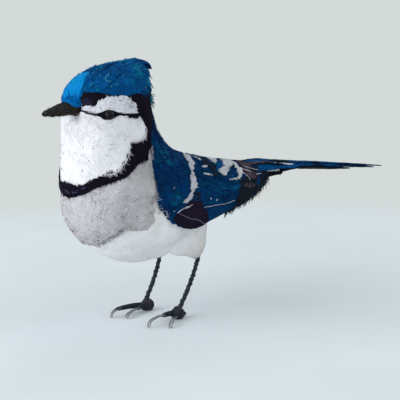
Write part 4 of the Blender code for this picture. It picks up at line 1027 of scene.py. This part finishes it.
glow = np.array([(8.9, 79), (9.02, 81), (9.1, 77.5), (9.16, 80), (9.05, 84), (8.8, 81), (8.7, 36), (8.45, 30),
                 (9.2, 78.5)])
ticks = np.array([(8.65, 88), (8.6, 93), (8.85, 93), (9.3, 90), (8.95, 71), (8.3, 52)])
spots = np.concatenate([edge_run([(7.45, 64), (7.72, 70)], 22, 128, 0.02),
                        edge_run([(8.5, 86), (8.6, 90), (8.85, 94), (9.3, 96)], 26, 129, 0.03)])
way = draws(130).normal(0, 1, (48, 3)) * [0.3, 1, 0.7] + [0, 0.9, 0.1]
for side, sign in SIDES:
    leaves(side + "_mantle_teal_scraps", *glow.T, draw, 0.4, (3.0, 6), (1.2, 2.6), 1.9, 0.2, 127,
           "blue_cloth", dyed, (0.55, 0.8), ragged=1.1, sign=sign)
    fray(side + "_mantle_fringe", spots - [0.05, 0], way, 2.0, 131, 1.9, np.linspace(0.11, 0.06, 5),
         stone, np.full(48, -0.2), sign, sides=4, stand=0.2)
    stitch(side + "_mantle_stitches", ticks, 1.5, 0.8, 128, 2.1, 0.12, stone, sign=sign)


# Wings: blue cloth folded against the sides, standing off the body behind. Over it lie a panel of
# brighter blue, a dark lower patch, a white bar, white and black scraps near the ridge and a dark tip.
WING = np.concatenate([BODY[:11], [
    (-17.0, 95.6, -77.0, 38.5, 31.0, 0.12),
    (2.0, 93.2, -60.0, 41.0, 27.2, 0.10),
    (18.0, 90.8, -40.0, 48.5, 21.8, 0.05),
    (31.0, 89.0, -18.0, 62.0, 16.5, 0.0),
    (41.0, 88.0, 10.0, 75.0, 13.0, 0.0),
    (47.0, 87.0, 38.0, 82.0, 8.0, 0.0),
]])
WING_LOW = [(WING_FRONT - 0.2, 98.5), (9.9, 101.5), (10.4, 102.5), (10.95, 100.5), (11.4, 93), (11.85, 87.5),
            (12.3, 84), (12.95, 79), (13.6, 66)]
WING_RIDGE = [WING_FRONT - 0.3, 9.85, 10.3, 10.75, 11.2, 11.6, 12.0, 12.25, 12.45]
ridge = np.stack([refine(np.array(WING_RIDGE)[:, None], 150)[:, 0], np.full(150, 1.0)], axis=1)
wt, wa = between(ridge, refine(WING_LOW, 150), 90, rag=(0.0, 0.6), seed=130, table=WING)
aubergine = cloth("aubergine_cloth", (0.015, 0.011, 0.025), (0.030, 0.017, 0.032), (0.009, 0.009, 0.019),
                  slub=0.5, size=8.0, sharp=3.0, streaks=0.4, relief=0.25, gloss=0.02)
coal = cloth("coal_cloth", (0.007, 0.010, 0.016), (0.026, 0.022, 0.026), (0.012, 0.024, 0.040), slub=0.9,
             streaks=0.6, relief=0.4)
chalk = cloth("wing_white_cloth", (0.78, 0.785, 0.87), (0.46, 0.48, 0.57), (0.86, 0.86, 0.92), slub=0.9,
              size=4.0, relief=0.3, crease=0.3)
dim_thread = cloth("mauve_thread", (0.26, 0.22, 0.31), (0.16, 0.13, 0.20), (0.34, 0.30, 0.40), thread=0.5,
                   slub=0.4, size=12.0, streaks=0.4, relief=0.3)
mauve = cloth("mauve_cloth", (0.050, 0.032, 0.046), (0.016, 0.011, 0.018), (0.13, 0.10, 0.14), thread=0.5,
              size=4.0, streaks=0.6, relief=0.3)
PANEL = [(9.66, 47, 11.52, 47), (9.68, 60, 11.58, 60), (9.85, 73, 11.74, 71), (10.32, 81, 11.6, 76)]
LOWER_PANEL = [(10.50, 82, 11.08, 97.5), (10.80, 80, 11.24, 94.5), (11.24, 79, 11.52, 90),
               (11.78, 80, 11.88, 85)]
DARK = [(9.40, 95, 9.52, 98.5), (9.48, 89, 9.78, 100.5), (9.60, 82, 10.24, 102.5), (9.71, 74, 10.60, 103),
        (9.78, 65, 10.82, 102), (9.98, 73, 10.96, 100), (10.26, 80, 11.00, 98), (10.54, 82, 11.06, 96)]
TIP = [(11.9, 44, 13.0, 42), (11.54, 50, 13.4, 54), (11.56, 56, 13.45, 64), (11.66, 64, 13.2, 73),
       (11.9, 74, 12.8, 80.5), (11.76, 80, 12.3, 85.5)]
DIAGONAL = [(10.20, 3, 9.84, 12), (10.30, 9, 9.90, 20), (10.34, 18, 9.96, 28), (10.36, 26, 10.08, 32.5),
            (10.38, 34, 10.18, 38.5), (10.46, 40, 10.24, 44.5), (10.64, 42, 10.38, 47)]
WHITE_MAIN = [(11.06, 9, 11.58, 8), (10.90, 18, 11.46, 17), (10.84, 26, 11.20, 26), (10.66, 33, 10.98, 33),
              (10.52, 38, 10.88, 38), (10.54, 40.5, 10.72, 42.5)]
WHITE_BRANCH = [(11.40, 12, 11.54, 14), (11.38, 24, 11.58, 23), (11.40, 32, 11.61, 30),
                (11.44, 37, 11.67, 35.5), (11.46, 41, 11.62, 41.5), (11.40, 44.0, 11.50, 45.2),
                (11.16, 46.3, 11.24, 47.8), (10.96, 48, 11.0, 48.8)]
WHITE_TOP = [(10.50, 3, 10.40, 12), (10.68, 4, 10.44, 18), (10.84, 6, 10.50, 22), (10.84, 9, 10.60, 21)]
ROYAL = [(10.70, 12, 10.44, 33), (10.88, 12, 10.52, 37), (11.02, 15, 10.72, 33)]
BAR = [(9.44, 12, 9.56, 12), (9.38, 20, 9.56, 19), (9.35, 30, 9.57, 28), (9.34, 36, 9.55, 38),
       (9.40, 44, 9.53, 46), (9.45, 49, 9.56, 50), (9.48, 54, 9.57, 54), (9.48, 58, 9.66, 58.5),
       (9.53, 64, 9.71, 63), (9.56, 68, 9.63, 67), (9.51, 74, 9.65, 72.5), (9.44, 78, 9.63, 76.5),
       (9.50, 80, 9.60, 79.5)]
MARKS = [[(9.84, 34, 9.85, 35.8), (9.96, 32, 9.95, 35.4), (10.07, 31, 10.05, 33.5)],
         [(9.86, 44.2, 9.88, 45.6), (10.06, 43.1, 10.08, 45.4), (10.26, 43.5, 10.26, 45)],
         [(11.66, 36.5, 11.74, 39), (11.90, 41.5, 11.99, 44.5), (12.12, 47.5, 12.18, 50.5)],
         [(9.70, 13, 9.76, 17), (9.84, 14, 9.86, 21), (9.94, 18, 9.95, 22)],
         [(10.02, 2, 10.2, 3), (10.06, 6, 10.2, 8), (10.08, 10, 10.14, 12)]]
STREAKS = [[(11.70, 8, 11.70, 26), (12.05, 12, 11.9, 31), (12.40, 18, 12.20, 33)],
           [(11.78, 31, 11.80, 40), (12.14, 33, 12.18, 47), (12.64, 39, 12.56, 49)],
           [(11.86, 54, 11.90, 58.5), (12.26, 54, 12.30, 60.5), (12.66, 57.5, 12.62, 60.5)]]
THREADS = [[(9.76, 79.5), (9.72, 81), (9.58, 84), (9.52, 86.5), (9.44, 90)],
           [(9.74, 81), (9.66, 83.5), (9.62, 84.5)], [(11.72, 32), (12.06, 36), (12.44, 41), (12.9, 41)]]
FINE_THREADS = [[(10.30, 80), (10.74, 78), (11.16, 77), (11.68, 74)], [(9.36, 17), (9.48, 17.5), (9.60, 20)],
                [(11.8, 26), (12.2, 30), (12.7, 34)]]
DARK_THREADS = [[(9.50, 90), (10.00, 92), (10.34, 92.5), (10.90, 98)]]
BAR_THREADS = [[(9.36, 50.5), (9.55, 50.5), (9.8, 50)]]
WING_THREADS = [("_wing_threads", THREADS, 0.27, "azure_cloth", chalk, 2.35, 160),
                ("_wing_fine_threads", FINE_THREADS, 0.17, "lilac_cloth", chalk, 2.4, 161),
                ("_wing_dark_thread", DARK_THREADS, 0.15, "lilac_cloth", dim_thread, 2.4, 161),
                ("_wing_bar_thread", BAR_THREADS, 0.18, "black_cloth", dark_thread, 2.6, 162)]
WING_SCRAPS = [("_wing_scraps", 210, 152, "navy_cloth", dyed, 5, 11, (9.75, 11.3), 0.33),
               ("_wing_top_scraps", 150, 153, "blue_cloth", dyed, 4, 9, (9.75, 11.3), 0.5),
               ("_wing_coal_scraps", 80, 154, "black_cloth", coal, 4, 9, (11.75, 13.3), 0.4),
               ("_wing_mauve_scraps", 36, 155, "lilac_cloth", mauve, 2, 6, (11.7, 13.2), 0.4)]


def lay_threads(name, lines, sign, radius, material, lift, seed):
    """Threads laid over the wing's cloth through places of t and a, a little uneven."""
    draw = draws(seed)
    paths = []
    for line in lines:
        line = refine(line, 40)
        path = skin(*line.T, WING) + skin_normal(*line.T, WING) * lift
        paths.append(path + 0.35 * lumps(path, 1.5, seed)[:, None] * [0.3, 1, 1] + 0.08
                     * draw.normal(0, 1, (40, 3)))
    put_threads(name, np.array(paths), radius, material, sign=sign)


def wing_reach(t):
    """Angle of the wing's lower edge at a section."""
    return np.interp(t, [9.3, 10.4, 11.0, 11.4, 12.3, 13.0, 13.5], [96, 98, 95, 88, 80, 74, 64])


def dark_lines(a):
    """Darker bands that run along the wing's blue panel."""
    return np.exp(-((np.abs(a) - 52) / 2.5) ** 2) + np.exp(-((np.abs(a) - 69) / 3) ** 2)


PATCHES = [("_wing_panel", PANEL, "blue_cloth", blue, "", 1.5, (0.7, 0.7), 0.0),
           ("_wing_lower_panel", LOWER_PANEL, "blue_cloth", blue, "", 1.5, (0.4, 0.4), 0.25),
           ("_wing_dark", DARK, "aubergine_cloth", aubergine, "_wing_dark_patch", 1.75, (0.3, 0.4), 0.0),
           ("_wing_tip", TIP, "black_cloth", coal, "", 1.6, (1.6, 1.5), 0.0),
           ("_wing_diagonal", DIAGONAL, "black_cloth", coal, "", 1.95, (1.8, 1.8), -0.4),
           ("_wing_royal", ROYAL, "azure_cloth", royal, "", 1.9, (0.8, 0.8), 0.0),
           ("_wing_bar_cloth", BAR, "white_cloth", chalk, "_wing_bar", 2.2, (1.6, 1.6), 0.1),
           ("_wing_white", WHITE_MAIN, "white_cloth", chalk, "_wing_white_patch", 2.2, (2.2, 2.2), -0.3),
           ("_wing_white_branch", WHITE_BRANCH, "white_cloth", chalk, "", 2.25, (1.8, 1.8), -0.2),
           ("_wing_white_top", WHITE_TOP, "white_cloth", chalk, "", 2.1, (1.5, 1.5), 0.1)]
for side, sign in SIDES:
    sew_on(side + "_wing_cloth", wt, wa * sign, navy, [side + "_wing"], lift=0.9, thickness=0.9,
           table=WING, seed=132, crease=0.4)
    for k, (name, rows, slot, material, stands_for, lift, rag, tint) in enumerate(PATCHES):
        t, a = strip(rows, 110, 18, rag, 133 + k, WING)
        sew_on(side + name, t, a * sign, material, [side + stands_for] if stands_for else (), lift=lift,
               thickness=0.5, table=WING, seed=133 + k, crease=0.25, edge=1,
               dye_and_light=lambda p: tint + 0.3 * lumps(p, 3.0, 5))
    for k, rows in enumerate(MARKS + STREAKS):
        t, a = strip(rows, 40, 12, (0.5, 0.5), 144 + k, WING)
        slot, material = ("white_cloth", chalk) if k < len(MARKS) else ("lilac_cloth", mauve)
        sew_on(f"{side}_wing_mark_{k + 1}", t, a * sign, material, lift=2.2, thickness=0.35, table=WING,
               seed=144 + k, crease=0.2, edge=1, dye_and_light=lambda p: 0.3 * lumps(p, 3.0, 6))
    for name, count, seed, slot, material, low, high, area, middle in WING_SCRAPS:
        t, a, draw = strew(count, seed, *area, wing_reach)
        a = np.abs(a)
        keep = ~((t < 11.05) & (a > 77)) & ~((t > np.where(a > 44, 11.0, 11.3)) & (material is dyed))
        for rows in (WHITE_MAIN, WHITE_BRANCH, WHITE_TOP, DIAGONAL, MARKS[0], MARKS[1]):
            line = refine([(0.5 * (r[0] + r[2]), 0.5 * (r[1] + r[3])) for r in rows], 12)
            gap = np.hypot((t[:, None] - line[:, 0]) * 15, (a[:, None] - line[:, 1]) * 0.5).min(axis=1)
            keep &= gap > 2.6
        t, a = t[keep], a[keep]
        banded = lambda draw: np.clip(areas(t, a, draw, middle, 8.0, WING) - 0.45 * dark_lines(a), 0, 1)
        leaves(side + name, t, a, draw, 0.14, (0.8 * low, 0.8 * high), (0.14 * high, 0.26 * high), 1.75, 0.45,
               seed, slot, material, banded, table=WING, curl=0.3, ragged=0.9, sign=sign)
    draw = draws(168)
    leaves(side + "_wing_teal_scraps", draw.normal(11.1, 0.16, 16), draw.normal(59, 2.2, 16), draw, 0.12,
           (6, 10), (1.4, 2.4), 1.9, 0.4, 169, "navy_cloth", dyed, (0.5, 0.85), table=WING, curl=0.3,
           ragged=1.1, sign=sign)
    t, a, draw = strew(520, 156, 9.75, 11.4, wing_reach)
    spots = np.abs(np.stack([t, a], axis=1))[np.abs(a) < 76]
    stitch(side + "_wing_stitches", spots, 3.2, 0.0, 157, 2.3, 0.13, dyed,
           draw.uniform(0, 1.0, len(spots)), sign, stand=0.25, table=WING)
    stitch(side + "_wing_dots", np.array([(10.38, 71), (10.68, 72)]), 0.9, 0.8, 158, 2.5, 0.28,
           lilac, sign=sign, table=WING)
    nap(side + "_wing_nap", wt, wa * sign, 1500, 1.8, navy, 155, 2.0, WING)
    spots = edge_run([(11.75, 88), (12.3, 84), (12.95, 79), (13.3, 73), (13.55, 66), (13.5, 50), (13.3, 36),
                      (13.1, 26)], 640, 156, 0.01)
    way = np.array([0.0, 1.0, -0.45]) + draws(157).normal(0, 0.35, (640, 3))
    fray(side + "_wing_fringe", spots - [0.12, 0], way, 4.3, 158, 1.5, np.linspace(0.26, 0.09, 5),
         coal, draws(159).uniform(-0.4, 0.9, 640), sign, sides=4, stand=0.1, curl=0.45,
         table=WING)
    for name, lines, radius, slot, material, lift, seed in WING_THREADS:
        lay_threads(side + name, lines, sign, radius, material, lift, seed)


# Rump: black cloth and scraps wrapped over the body's narrow rear end, with a bundle of pale threads
# on each side, and flat scraps that lead up to the root of the tail.
t, a = strip([(12.1, -104, 12.1, 104), (13.0, -112, 13.0, 112), (14.0, -128, 14.0, 128),
              (15.0, -140, 15.0, 140), (15.95, -150, 15.95, 150)], 60, 90, (0.8, 0.8), 170)
rump_fall = lambda t, a: np.clip((t - 12.8) / 1.8, 0, 1) * np.clip((np.abs(a) - 40) / 60, 0, 1)
sew_on("rump", t, a, coal, lift=0.3 - 2.6 * rump_fall(t, a), thickness=0.5, seed=171)
t, a, draw = strew(90, 172, 12.3, 14.6, lambda t: 110 + 0 * t)
leaves("rump_scraps", t, a, draw, 0.2, (4, 8), (1.5, 3.2), 0.6 - 2.0 * rump_fall(t, a), 0.4, 173,
       "navy_cloth", coal, (-0.4, 0.8), curl=0.3, ragged=0.8)
stiff_scrap("tail_root", [(-4.0, 93.6, 15.0, 5.0), (8.0, 93.7, 15.0, 5.5), (20.0, 93.9, 14.0, 5.0),
                          (32.0, 93.4, 12.5, 4.5), (46.0, 91.9, 11.0, 3.8), (62.0, 90.0, 7.0, 1.4),
                          (70.0, 89.2, 2.0, 0.4)], "blue_cloth", royal, 176)
stiff_scrap("tail_under", [(24, 81.5, 4.5, -2.5), (36, 83.0, 4.6, -2.5), (48, 84.6, 4.4, -2.0),
                           (62, 85.4, 4.0, -1.2), (80, 84.8, 3.0, -0.5), (96, 83.6, 1.0, -0.1)],
            "black_cloth", coal, 178)
line = refine([(12.5, 33), (13.0, 33), (13.5, 33), (14.1, 29), (14.9, 24)], 40)
path = (skin(*line.T) + skin_normal(*line.T) * 1.6)[None] + np.arange(5)[:, None, None] * [0, 0.3, -0.35]
path = path + 0.45 * ripple(0.5 * np.arange(200).reshape(5, 40), 2.0, 177)[..., None] * [0.2, 0.4, 1]
for side, sign in SIDES:
    put_threads(side + "_rump_threads", path, 0.42, lilac,
                np.array([-0.3, 0.3, 0.0, 0.5, 0.2]), sign)
root_fall = lambda y, x: 94.2 - 0.115 * max(y - 24, 0) - 0.024 * x * x
ROOT_SCRAPS = [(2, -7, 3.2, "black_cloth", coal), (6, 6.5, 3.0, "lilac_cloth", mauve),
               (14, -3, 3.4, "blue_cloth", blue), (20, 8.5, 2.6, "black_cloth", coal),
               (24, -8.5, 2.8, "navy_cloth", navy), (30, 3.5, 3.2, "black_cloth", coal),
               (38, -4.5, 3.0, "blue_cloth", blue), (26, 8.8, 1.2, "white_cloth", lilac),
               (26, -8.8, 1.2, "white_cloth", lilac), (44, 5.0, 2.6, "navy_cloth", navy)]
for k, (y, x, wide, slot, material) in enumerate(ROOT_SCRAPS):
    rows = [(y + d, root_fall(y + d, x) + 0.5, wide * w, 0.12 * wide) for d, w in
            ((0, 0.3), (4, 0.9), (10, 1.0), (16, 0.8), (22, 0.15))]
    stiff_scrap(f"tail_root_scrap_{k + 1}", rows, slot, material, 180 + k, side=x)


# Tail: three strips of blue cloth with black bars and two black ones below them, which lie on each
# other and draw in to the tip. Their cut sides are frayed.
TAIL_ROOT, TAIL_TIP, TAIL_TOP, TAIL_SLOPE, TAIL_TUCK = 27.0, 150.0, 93.6, 0.115, 4
TAIL_STRIPS = [(0.0, 0.0, 5.2), (4.5, 11.0, 4.1), (-4.5, 11.0, 4.1), (7.6, 40.0, 3.6), (-7.6, 40.0, 3.6)]
bars = cloth("tail_cloth", (0.001, 0.105, 0.320), (0.006, 0.009, 0.018), (0.001, 0.050, 0.170), size=9.0,
             cloud=0.15, streaks=0.45, relief=0.4)


def tail_strip(number, shift, tip, half):
    """Top and under side of a strip: x = shift plus half width times v, falling to the sides by an
    arch that flattens to the tip, and y evenly from the root to the strip's own end."""
    y = np.linspace(TAIL_ROOT - TAIL_TUCK, tip, 180)[:, None]
    u = np.clip((y - TAIL_ROOT) / (tip - TAIL_ROOT), 0, 1)
    whole = (y - TAIL_ROOT) / (TAIL_TIP - TAIL_ROOT)
    v = np.linspace(-1, 1, 24)[None, :]
    at = np.stack(np.broadcast_arrays(y, 10 * np.sign(v), 7.0 * number), axis=-1)
    width = half * (0.72 + 0.5 * u - 0.25 * u ** 2) * np.sqrt(np.clip(1.02 - u ** 6, 0.004, 1))
    x = shift * (1 - 0.5 * whole) + width * (1 + 0.10 * lumps(at, 2.0, 190 + number)) * v
    z = TAIL_TOP - (number // 2) * 1.1 - TAIL_SLOPE * (y - TAIL_ROOT) - 0.014 * (1 - 0.8 * whole) * x ** 2
    z = z + (0.4 + 0.6 * np.sin(np.pi * whole)) * max(0.0, 1 - number / 4)
    top = np.stack(np.broadcast_arrays(x, y, z), axis=-1)
    top = top + [0, 0, 1] * (0.14 * lumps(top, 4.0, 195 + number))[..., None]
    edge = np.clip((1 - np.abs(v)) * 6, 0.25, 1)
    return top, top - np.array([0, 0, 1.5]) * (edge * (1 - 0.6 * u ** 3))[..., None]


def tail_bars(points):
    """Uneven black bars across the tail, and dark grey towards the tip."""
    y = points[:, 1] + 2.0 * lumps(points, 5.0, 200)
    bars = np.exp(-((y - 75) / 6) ** 4) + np.exp(-((y - 44) / 3) ** 4)
    return 0.85 * bars + 0.75 * np.clip((y - 93) / 8, 0, 1)


for number, (shift, shorter, half) in enumerate(TAIL_STRIPS, start=1):
    tip = TAIL_TIP - shorter
    top, under = tail_strip(number, shift, tip, half)
    points, faces, uv = shell(top, under)
    tail_piece = put_mesh(f"tail_{number}", points, faces,
                          bars if number < 4 else coal, uv, tail_bars(points), [f"tail_strip_{number}"])
    length = tip - TAIL_ROOT + TAIL_TUCK
    y = np.linspace(30, tip - 2, 120)
    draw = draws(210 + number)
    pick = draw.choice([0, 1], 120)[:, None]
    rims = [np.stack([np.interp(y, top[:, 0, 1], top[:, k, axis]) for axis in range(3)],
                     axis=1) for k in (1, -2)]
    lay = np.stack([draw.normal(0, 0.3, 120), draw.uniform(1.0, 3.0, 120), draw.normal(-0.2, 0.2, 120)],
                   axis=-1)
    hairs(f"tail_fray_{number}", np.where(pick == 0, *rims) - [0, 0, 0.4], lay, np.full(4, 0.09),
          bars, draw.uniform(0, 0.6, 120))


# Legs and feet: wire bound closely with blue-black thread, with a bound knot for a foot, bound toe
# roots and a short hind lobe. The toes are bare loops of wire that arch up and hook down.
# A toe is its turn from straight ahead, its bound length, its whole length and its rise.
bound = cloth("bound_thread", (0.008, 0.013, 0.019), (0.070, 0.080, 0.100), (0.020, 0.045, 0.055), thread=0.3,
              slub=0.6, size=3.0, sharp=3.0, streaks=0.4, relief=0.15, gloss=0.15)
knot_thread = cloth("knot_thread", (0.010, 0.012, 0.018), (0.078, 0.068, 0.086), (0.020, 0.040, 0.050),
                    thread=0.3, slub=0.6, size=3.0, sharp=3.0, cloud=0.6, streaks=0.4, relief=0.15,
                    gloss=0.15)
wire = cloth("bare_wire", (0.24, 0.235, 0.235), (0.12, 0.115, 0.115), (0.42, 0.42, 0.44), thread=0.7,
             slub=0.4, size=4.0, streaks=0.4, relief=0.02, fleck_and_gap_shade=0.9, rough=0.42, metal=1.0)
KNOT_SIZE = np.array([3.3, 3.9, 4.0])
WIRE_RADIUS, LOOP_HALF, HOOK, TOE_TIP = 0.45, 0.8, 5.5, 1.25
UP = np.array([0, 0, 1.0])
LEGS = {
    "left": dict(top=(16.5, -43.8), ankle=(18.4, -61.8, 6.4), knot=(18.9, -63.4, 3.3), hind=7.6,
                 toes=[(12.5, 13.5, 29.0, 5.0), (40.0, 6.5, 24.3, 3.0)]),
    "right": dict(top=(-15.0, -50.5), ankle=(-12.4, -65.4, 6.6), knot=(-11.2, -64.9, 3.3), hind=4.8,
                  toes=[(3.0, 24.0, 30.2, 5.0), (22.0, 10.0, 25.6, 3.4)]),
}


def toe_way(turn):
    """Unit vector over the floor of a toe that turns away from straight ahead."""
    return np.array([np.sin(np.radians(turn)), -np.cos(np.radians(turn)), 0.0])


def wound(path, radius, pitch, seed):
    """Path of a thread wound around a path: path + radius (side cos w + up sin w), where w grows by a
    turn every pitch millimetres, a little unevenly."""
    step = np.append(0, np.linalg.norm(np.diff(path, axis=0), axis=-1).cumsum())
    at = np.linspace(0, step[-1], int(step[-1] / pitch * 12))
    line = np.stack([np.interp(at, step, path[:, k]) for k in range(3)], axis=1)
    way = unit(np.gradient(line, axis=0))
    side = unit(np.cross(way, [1.0, 0.0, 0.0] if abs(way[0, 2]) > 0.7 else UP))
    uneven = ripple(at, 2.2, seed)
    w = (2 * np.pi * at / pitch + 1.5 * uneven)[:, None]
    thick = (np.interp(at, step, radius) + 0.10 * ripple(at, 0.8, seed + 1))[:, None]
    line = line + way * (0.5 * uneven)[:, None]
    return line + side * (thick * np.cos(w)) + np.cross(side, way) * (thick * np.sin(w))


for side, leg in LEGS.items():
    knot, ankle = np.array(leg["knot"]), np.array(leg["ankle"])
    top = np.array([*leg["top"], float(thigh_floor(*leg["top"])) + 1.5])
    share = np.linspace(0, 1, 30)[:, None]
    shaft = ankle + (top - ankle) * share
    shaft[:, 1:2] += 1.4 * 4 * share * (1 - share)
    shaft = np.concatenate([np.linspace(knot, shaft[0], 6)[:-1], shaft])
    heart = knot * [1, 1, 0]
    tubes = [(shaft, np.interp(np.linspace(0, 1, len(shaft)), [0, 0.12, 1], [1.8, 1.22, 1.1]))]
    for turn, bound_length, length, rise in leg["toes"]:
        share = np.linspace(0.05, 1.0, 14)
        path = heart + toe_way(turn) * (bound_length + 2.5) * share[:, None]
        path[:, 2] = knot[2] + (rise - knot[2]) * share + 0.8 * np.sin(np.pi * share)
        tubes.append((path, np.interp(share, [0, 0.5, 0.9, 1], [1.9, 1.6, 1.25, 0.8])))
    share = np.linspace(0.1, 1.0, 10)
    path = heart - toe_way(leg["toes"][0][0]) * leg["hind"] * share[:, None]
    path[:, 2] = knot[2] - 0.4 - 1.0 * share
    tubes.append((path, np.interp(share, [0, 0.6, 1], [2.2, 1.9, 0.9])))
    ball = knot + KNOT_SIZE * 0.94 * globe(np.radians(np.linspace(-70, 85, 14)), 24)
    ball = ball + 0.25 * lumps(ball, 1.6, 220)[..., None]
    ball[..., 2] = np.maximum(ball[..., 2], 0.05)
    points, faces = ringed(ball, ball[0].mean(axis=0), ball[-1].mean(axis=0))
    windings = []
    for k, (path, radius) in enumerate(tubes):
        tube_points, tube_faces, _ = thread_mesh(path[None], radius[None], 12)
        faces += [block + len(points) for block in tube_faces]
        points = np.concatenate([points, tube_points])
        windings.append((path, radius, 0.62, 221 + k))
        if k == 0:
            windings += [(path, radius + 0.22, 3.4, 231), (path, radius + 0.30, 5.2, 241)]
    points[:, 2] = np.maximum(points[:, 2], 0.0)
    put_mesh(side + "_bound_leg", points, faces, bound, dye_and_light=0.4 * lumps(points, 2.0, 240),
             stands_for=[side + "_leg"])
    for k, winding in enumerate(windings):
        coil = wound(*winding)
        coil[:, 2] = np.maximum(coil[:, 2], 0.22)
        coarse = winding[2] > 1
        put_threads(f"{side}_leg_winding_{k + 1}", coil[None], 0.34 if coarse else 0.2, bound,
                    np.array([0.55 if coarse else 0.15 * (k % 3)]), sides=5)
    draw = draws(250 + len(side))
    axis = unit(draw.normal(0, 1, (46, 3)))
    one = unit(np.cross(axis, [0.3, 0.5, 0.8]))
    w = np.linspace(0, 2 * np.pi * 0.97, 40)[None, :, None]
    centre = knot + draw.normal(0, 0.3, (46, 1, 3))
    loops = centre + KNOT_SIZE * draw.uniform(0.86, 1.08, (46, 1, 1)) * (
        one[:, None] * np.cos(w) + np.cross(axis, one)[:, None] * np.sin(w))
    loops[..., 2] = np.maximum(loops[..., 2], 0.3)
    put_threads(side + "_knot_winding", loops, 0.30, knot_thread, draw.uniform(-0.3, 1.0, 46))
    for number, (turn, bound_length, length, rise) in enumerate(leg["toes"], start=1):
        way = toe_way(turn)
        across = np.array([-way[1], way[0], 0.0]) * LOOP_HALF
        level, bend = np.linspace(bound_length - 1.5, length - HOOK, 12), np.radians(np.linspace(8, 85, 12))
        out = np.concatenate([level, length - HOOK * (1 - np.sin(bend))])
        height = np.concatenate([rise + 0.5 * np.sin(np.linspace(0, np.pi, 12)), TOE_TIP + (rise - TOE_TIP)
                                 * np.cos(bend)])
        line = heart + way * out[:, None] + UP * height[:, None]
        down = line[-1] - line[-2]
        down *= LOOP_HALF / np.linalg.norm(down)
        turn_back = np.radians(np.linspace(-75, 75, 9))[:, None]
        path = np.concatenate([line - across, line[-1] + down * np.cos(turn_back) + across
                               * np.sin(turn_back), line[::-1] + across])
        put_threads(f"{side}_wire_{number}", path[None], WIRE_RADIUS, wire, sides=10,
                    stands_for=[f"{side}_toe_wire_{number}"])


# Floor and light: a plain pale floor that fades out behind, and soft daylight from the front left.
# They only stand for the photograph's stage and aren't a part of the bird.
floor_mesh = bpy.data.meshes.new("floor")
ring = np.radians(np.arange(0, 360, 6))
floor_mesh.from_pydata([(0.9 * np.cos(r), 0.9 * np.sin(r), 0) for r in ring], [], [list(range(60))])
floor = bpy.data.objects.new("floor", floor_mesh)
stage.collection.objects.link(floor)
pale = bpy.data.materials.new("floor")
pale.use_nodes = True
tree = pale.node_tree
place = node(tree, "TexCoord").outputs["Object"]
cloudy = noise(tree, place, 9.0, Detail=3.0)
shader = tree.nodes["Principled BSDF"].inputs
tones = ramp(tree, cloudy.outputs[0], (0.3, (0.61, 0.655, 0.70)), (0.7, (0.64, 0.685, 0.73)))
tree.links.new(tones, shader["Base Color"])
far = node(tree, "VectorMath", {0: place}, operation="LENGTH")
fade = node(tree, "MapRange", {0: far.outputs["Value"], 1: 0.34, 2: 0.46, 3: 1.0, 4: 0.0},
            interpolation_type="SMOOTHSTEP")
tree.links.new(fade.outputs[0], shader["Alpha"])
shader["Roughness"].default_value = 0.9
shader["Specular IOR Level"].default_value = 0.1
floor_mesh.materials.append(pale)

world = bpy.data.worlds.new("daylight")
world.use_nodes = True
sky = world.node_tree.nodes["Background"].inputs
sky[0].default_value = (0.655, 0.70, 0.69, 1)
sky[1].default_value = 1.0
stage.world = world


def add_light(name, place, aim, wide, high, watts, colour):
    """A soft light, wide by high, that looks at a point."""
    lamp = bpy.data.lights.new(name, "AREA")
    lamp.shape = "RECTANGLE"
    lamp.size, lamp.size_y, lamp.energy, lamp.color = wide, high, watts, colour
    holder = bpy.data.objects.new(name, lamp)
    stage.collection.objects.link(holder)
    holder.location = place
    holder.rotation_mode = "QUATERNION"
    holder.rotation_quaternion = (Vector(aim) - Vector(place)).to_track_quat("-Z", "Y")


add_light("key", (-0.28, -1.12, 0.52), (0, -0.06, 0.09), 1.1, 0.9, 10.4, (1.0, 0.98, 0.97))
add_light("fill", (0.8, 0.7, 0.8), (0, 0.0, 0.05), 0.9, 0.9, 3.6, (0.95, 0.97, 1.0))
add_light("window", (0.35, -0.95, 0.14), (0, -0.10, 0.10), 0.08, 0.22, 1.6, (0.97, 0.985, 1.0))
add_light("rear", (-0.6, 0.9, 0.9), (0, 0, 0.1), 0.8, 0.8, 3.0, (0.96, 0.98, 1.0))

bpy.context.view_layer.update()
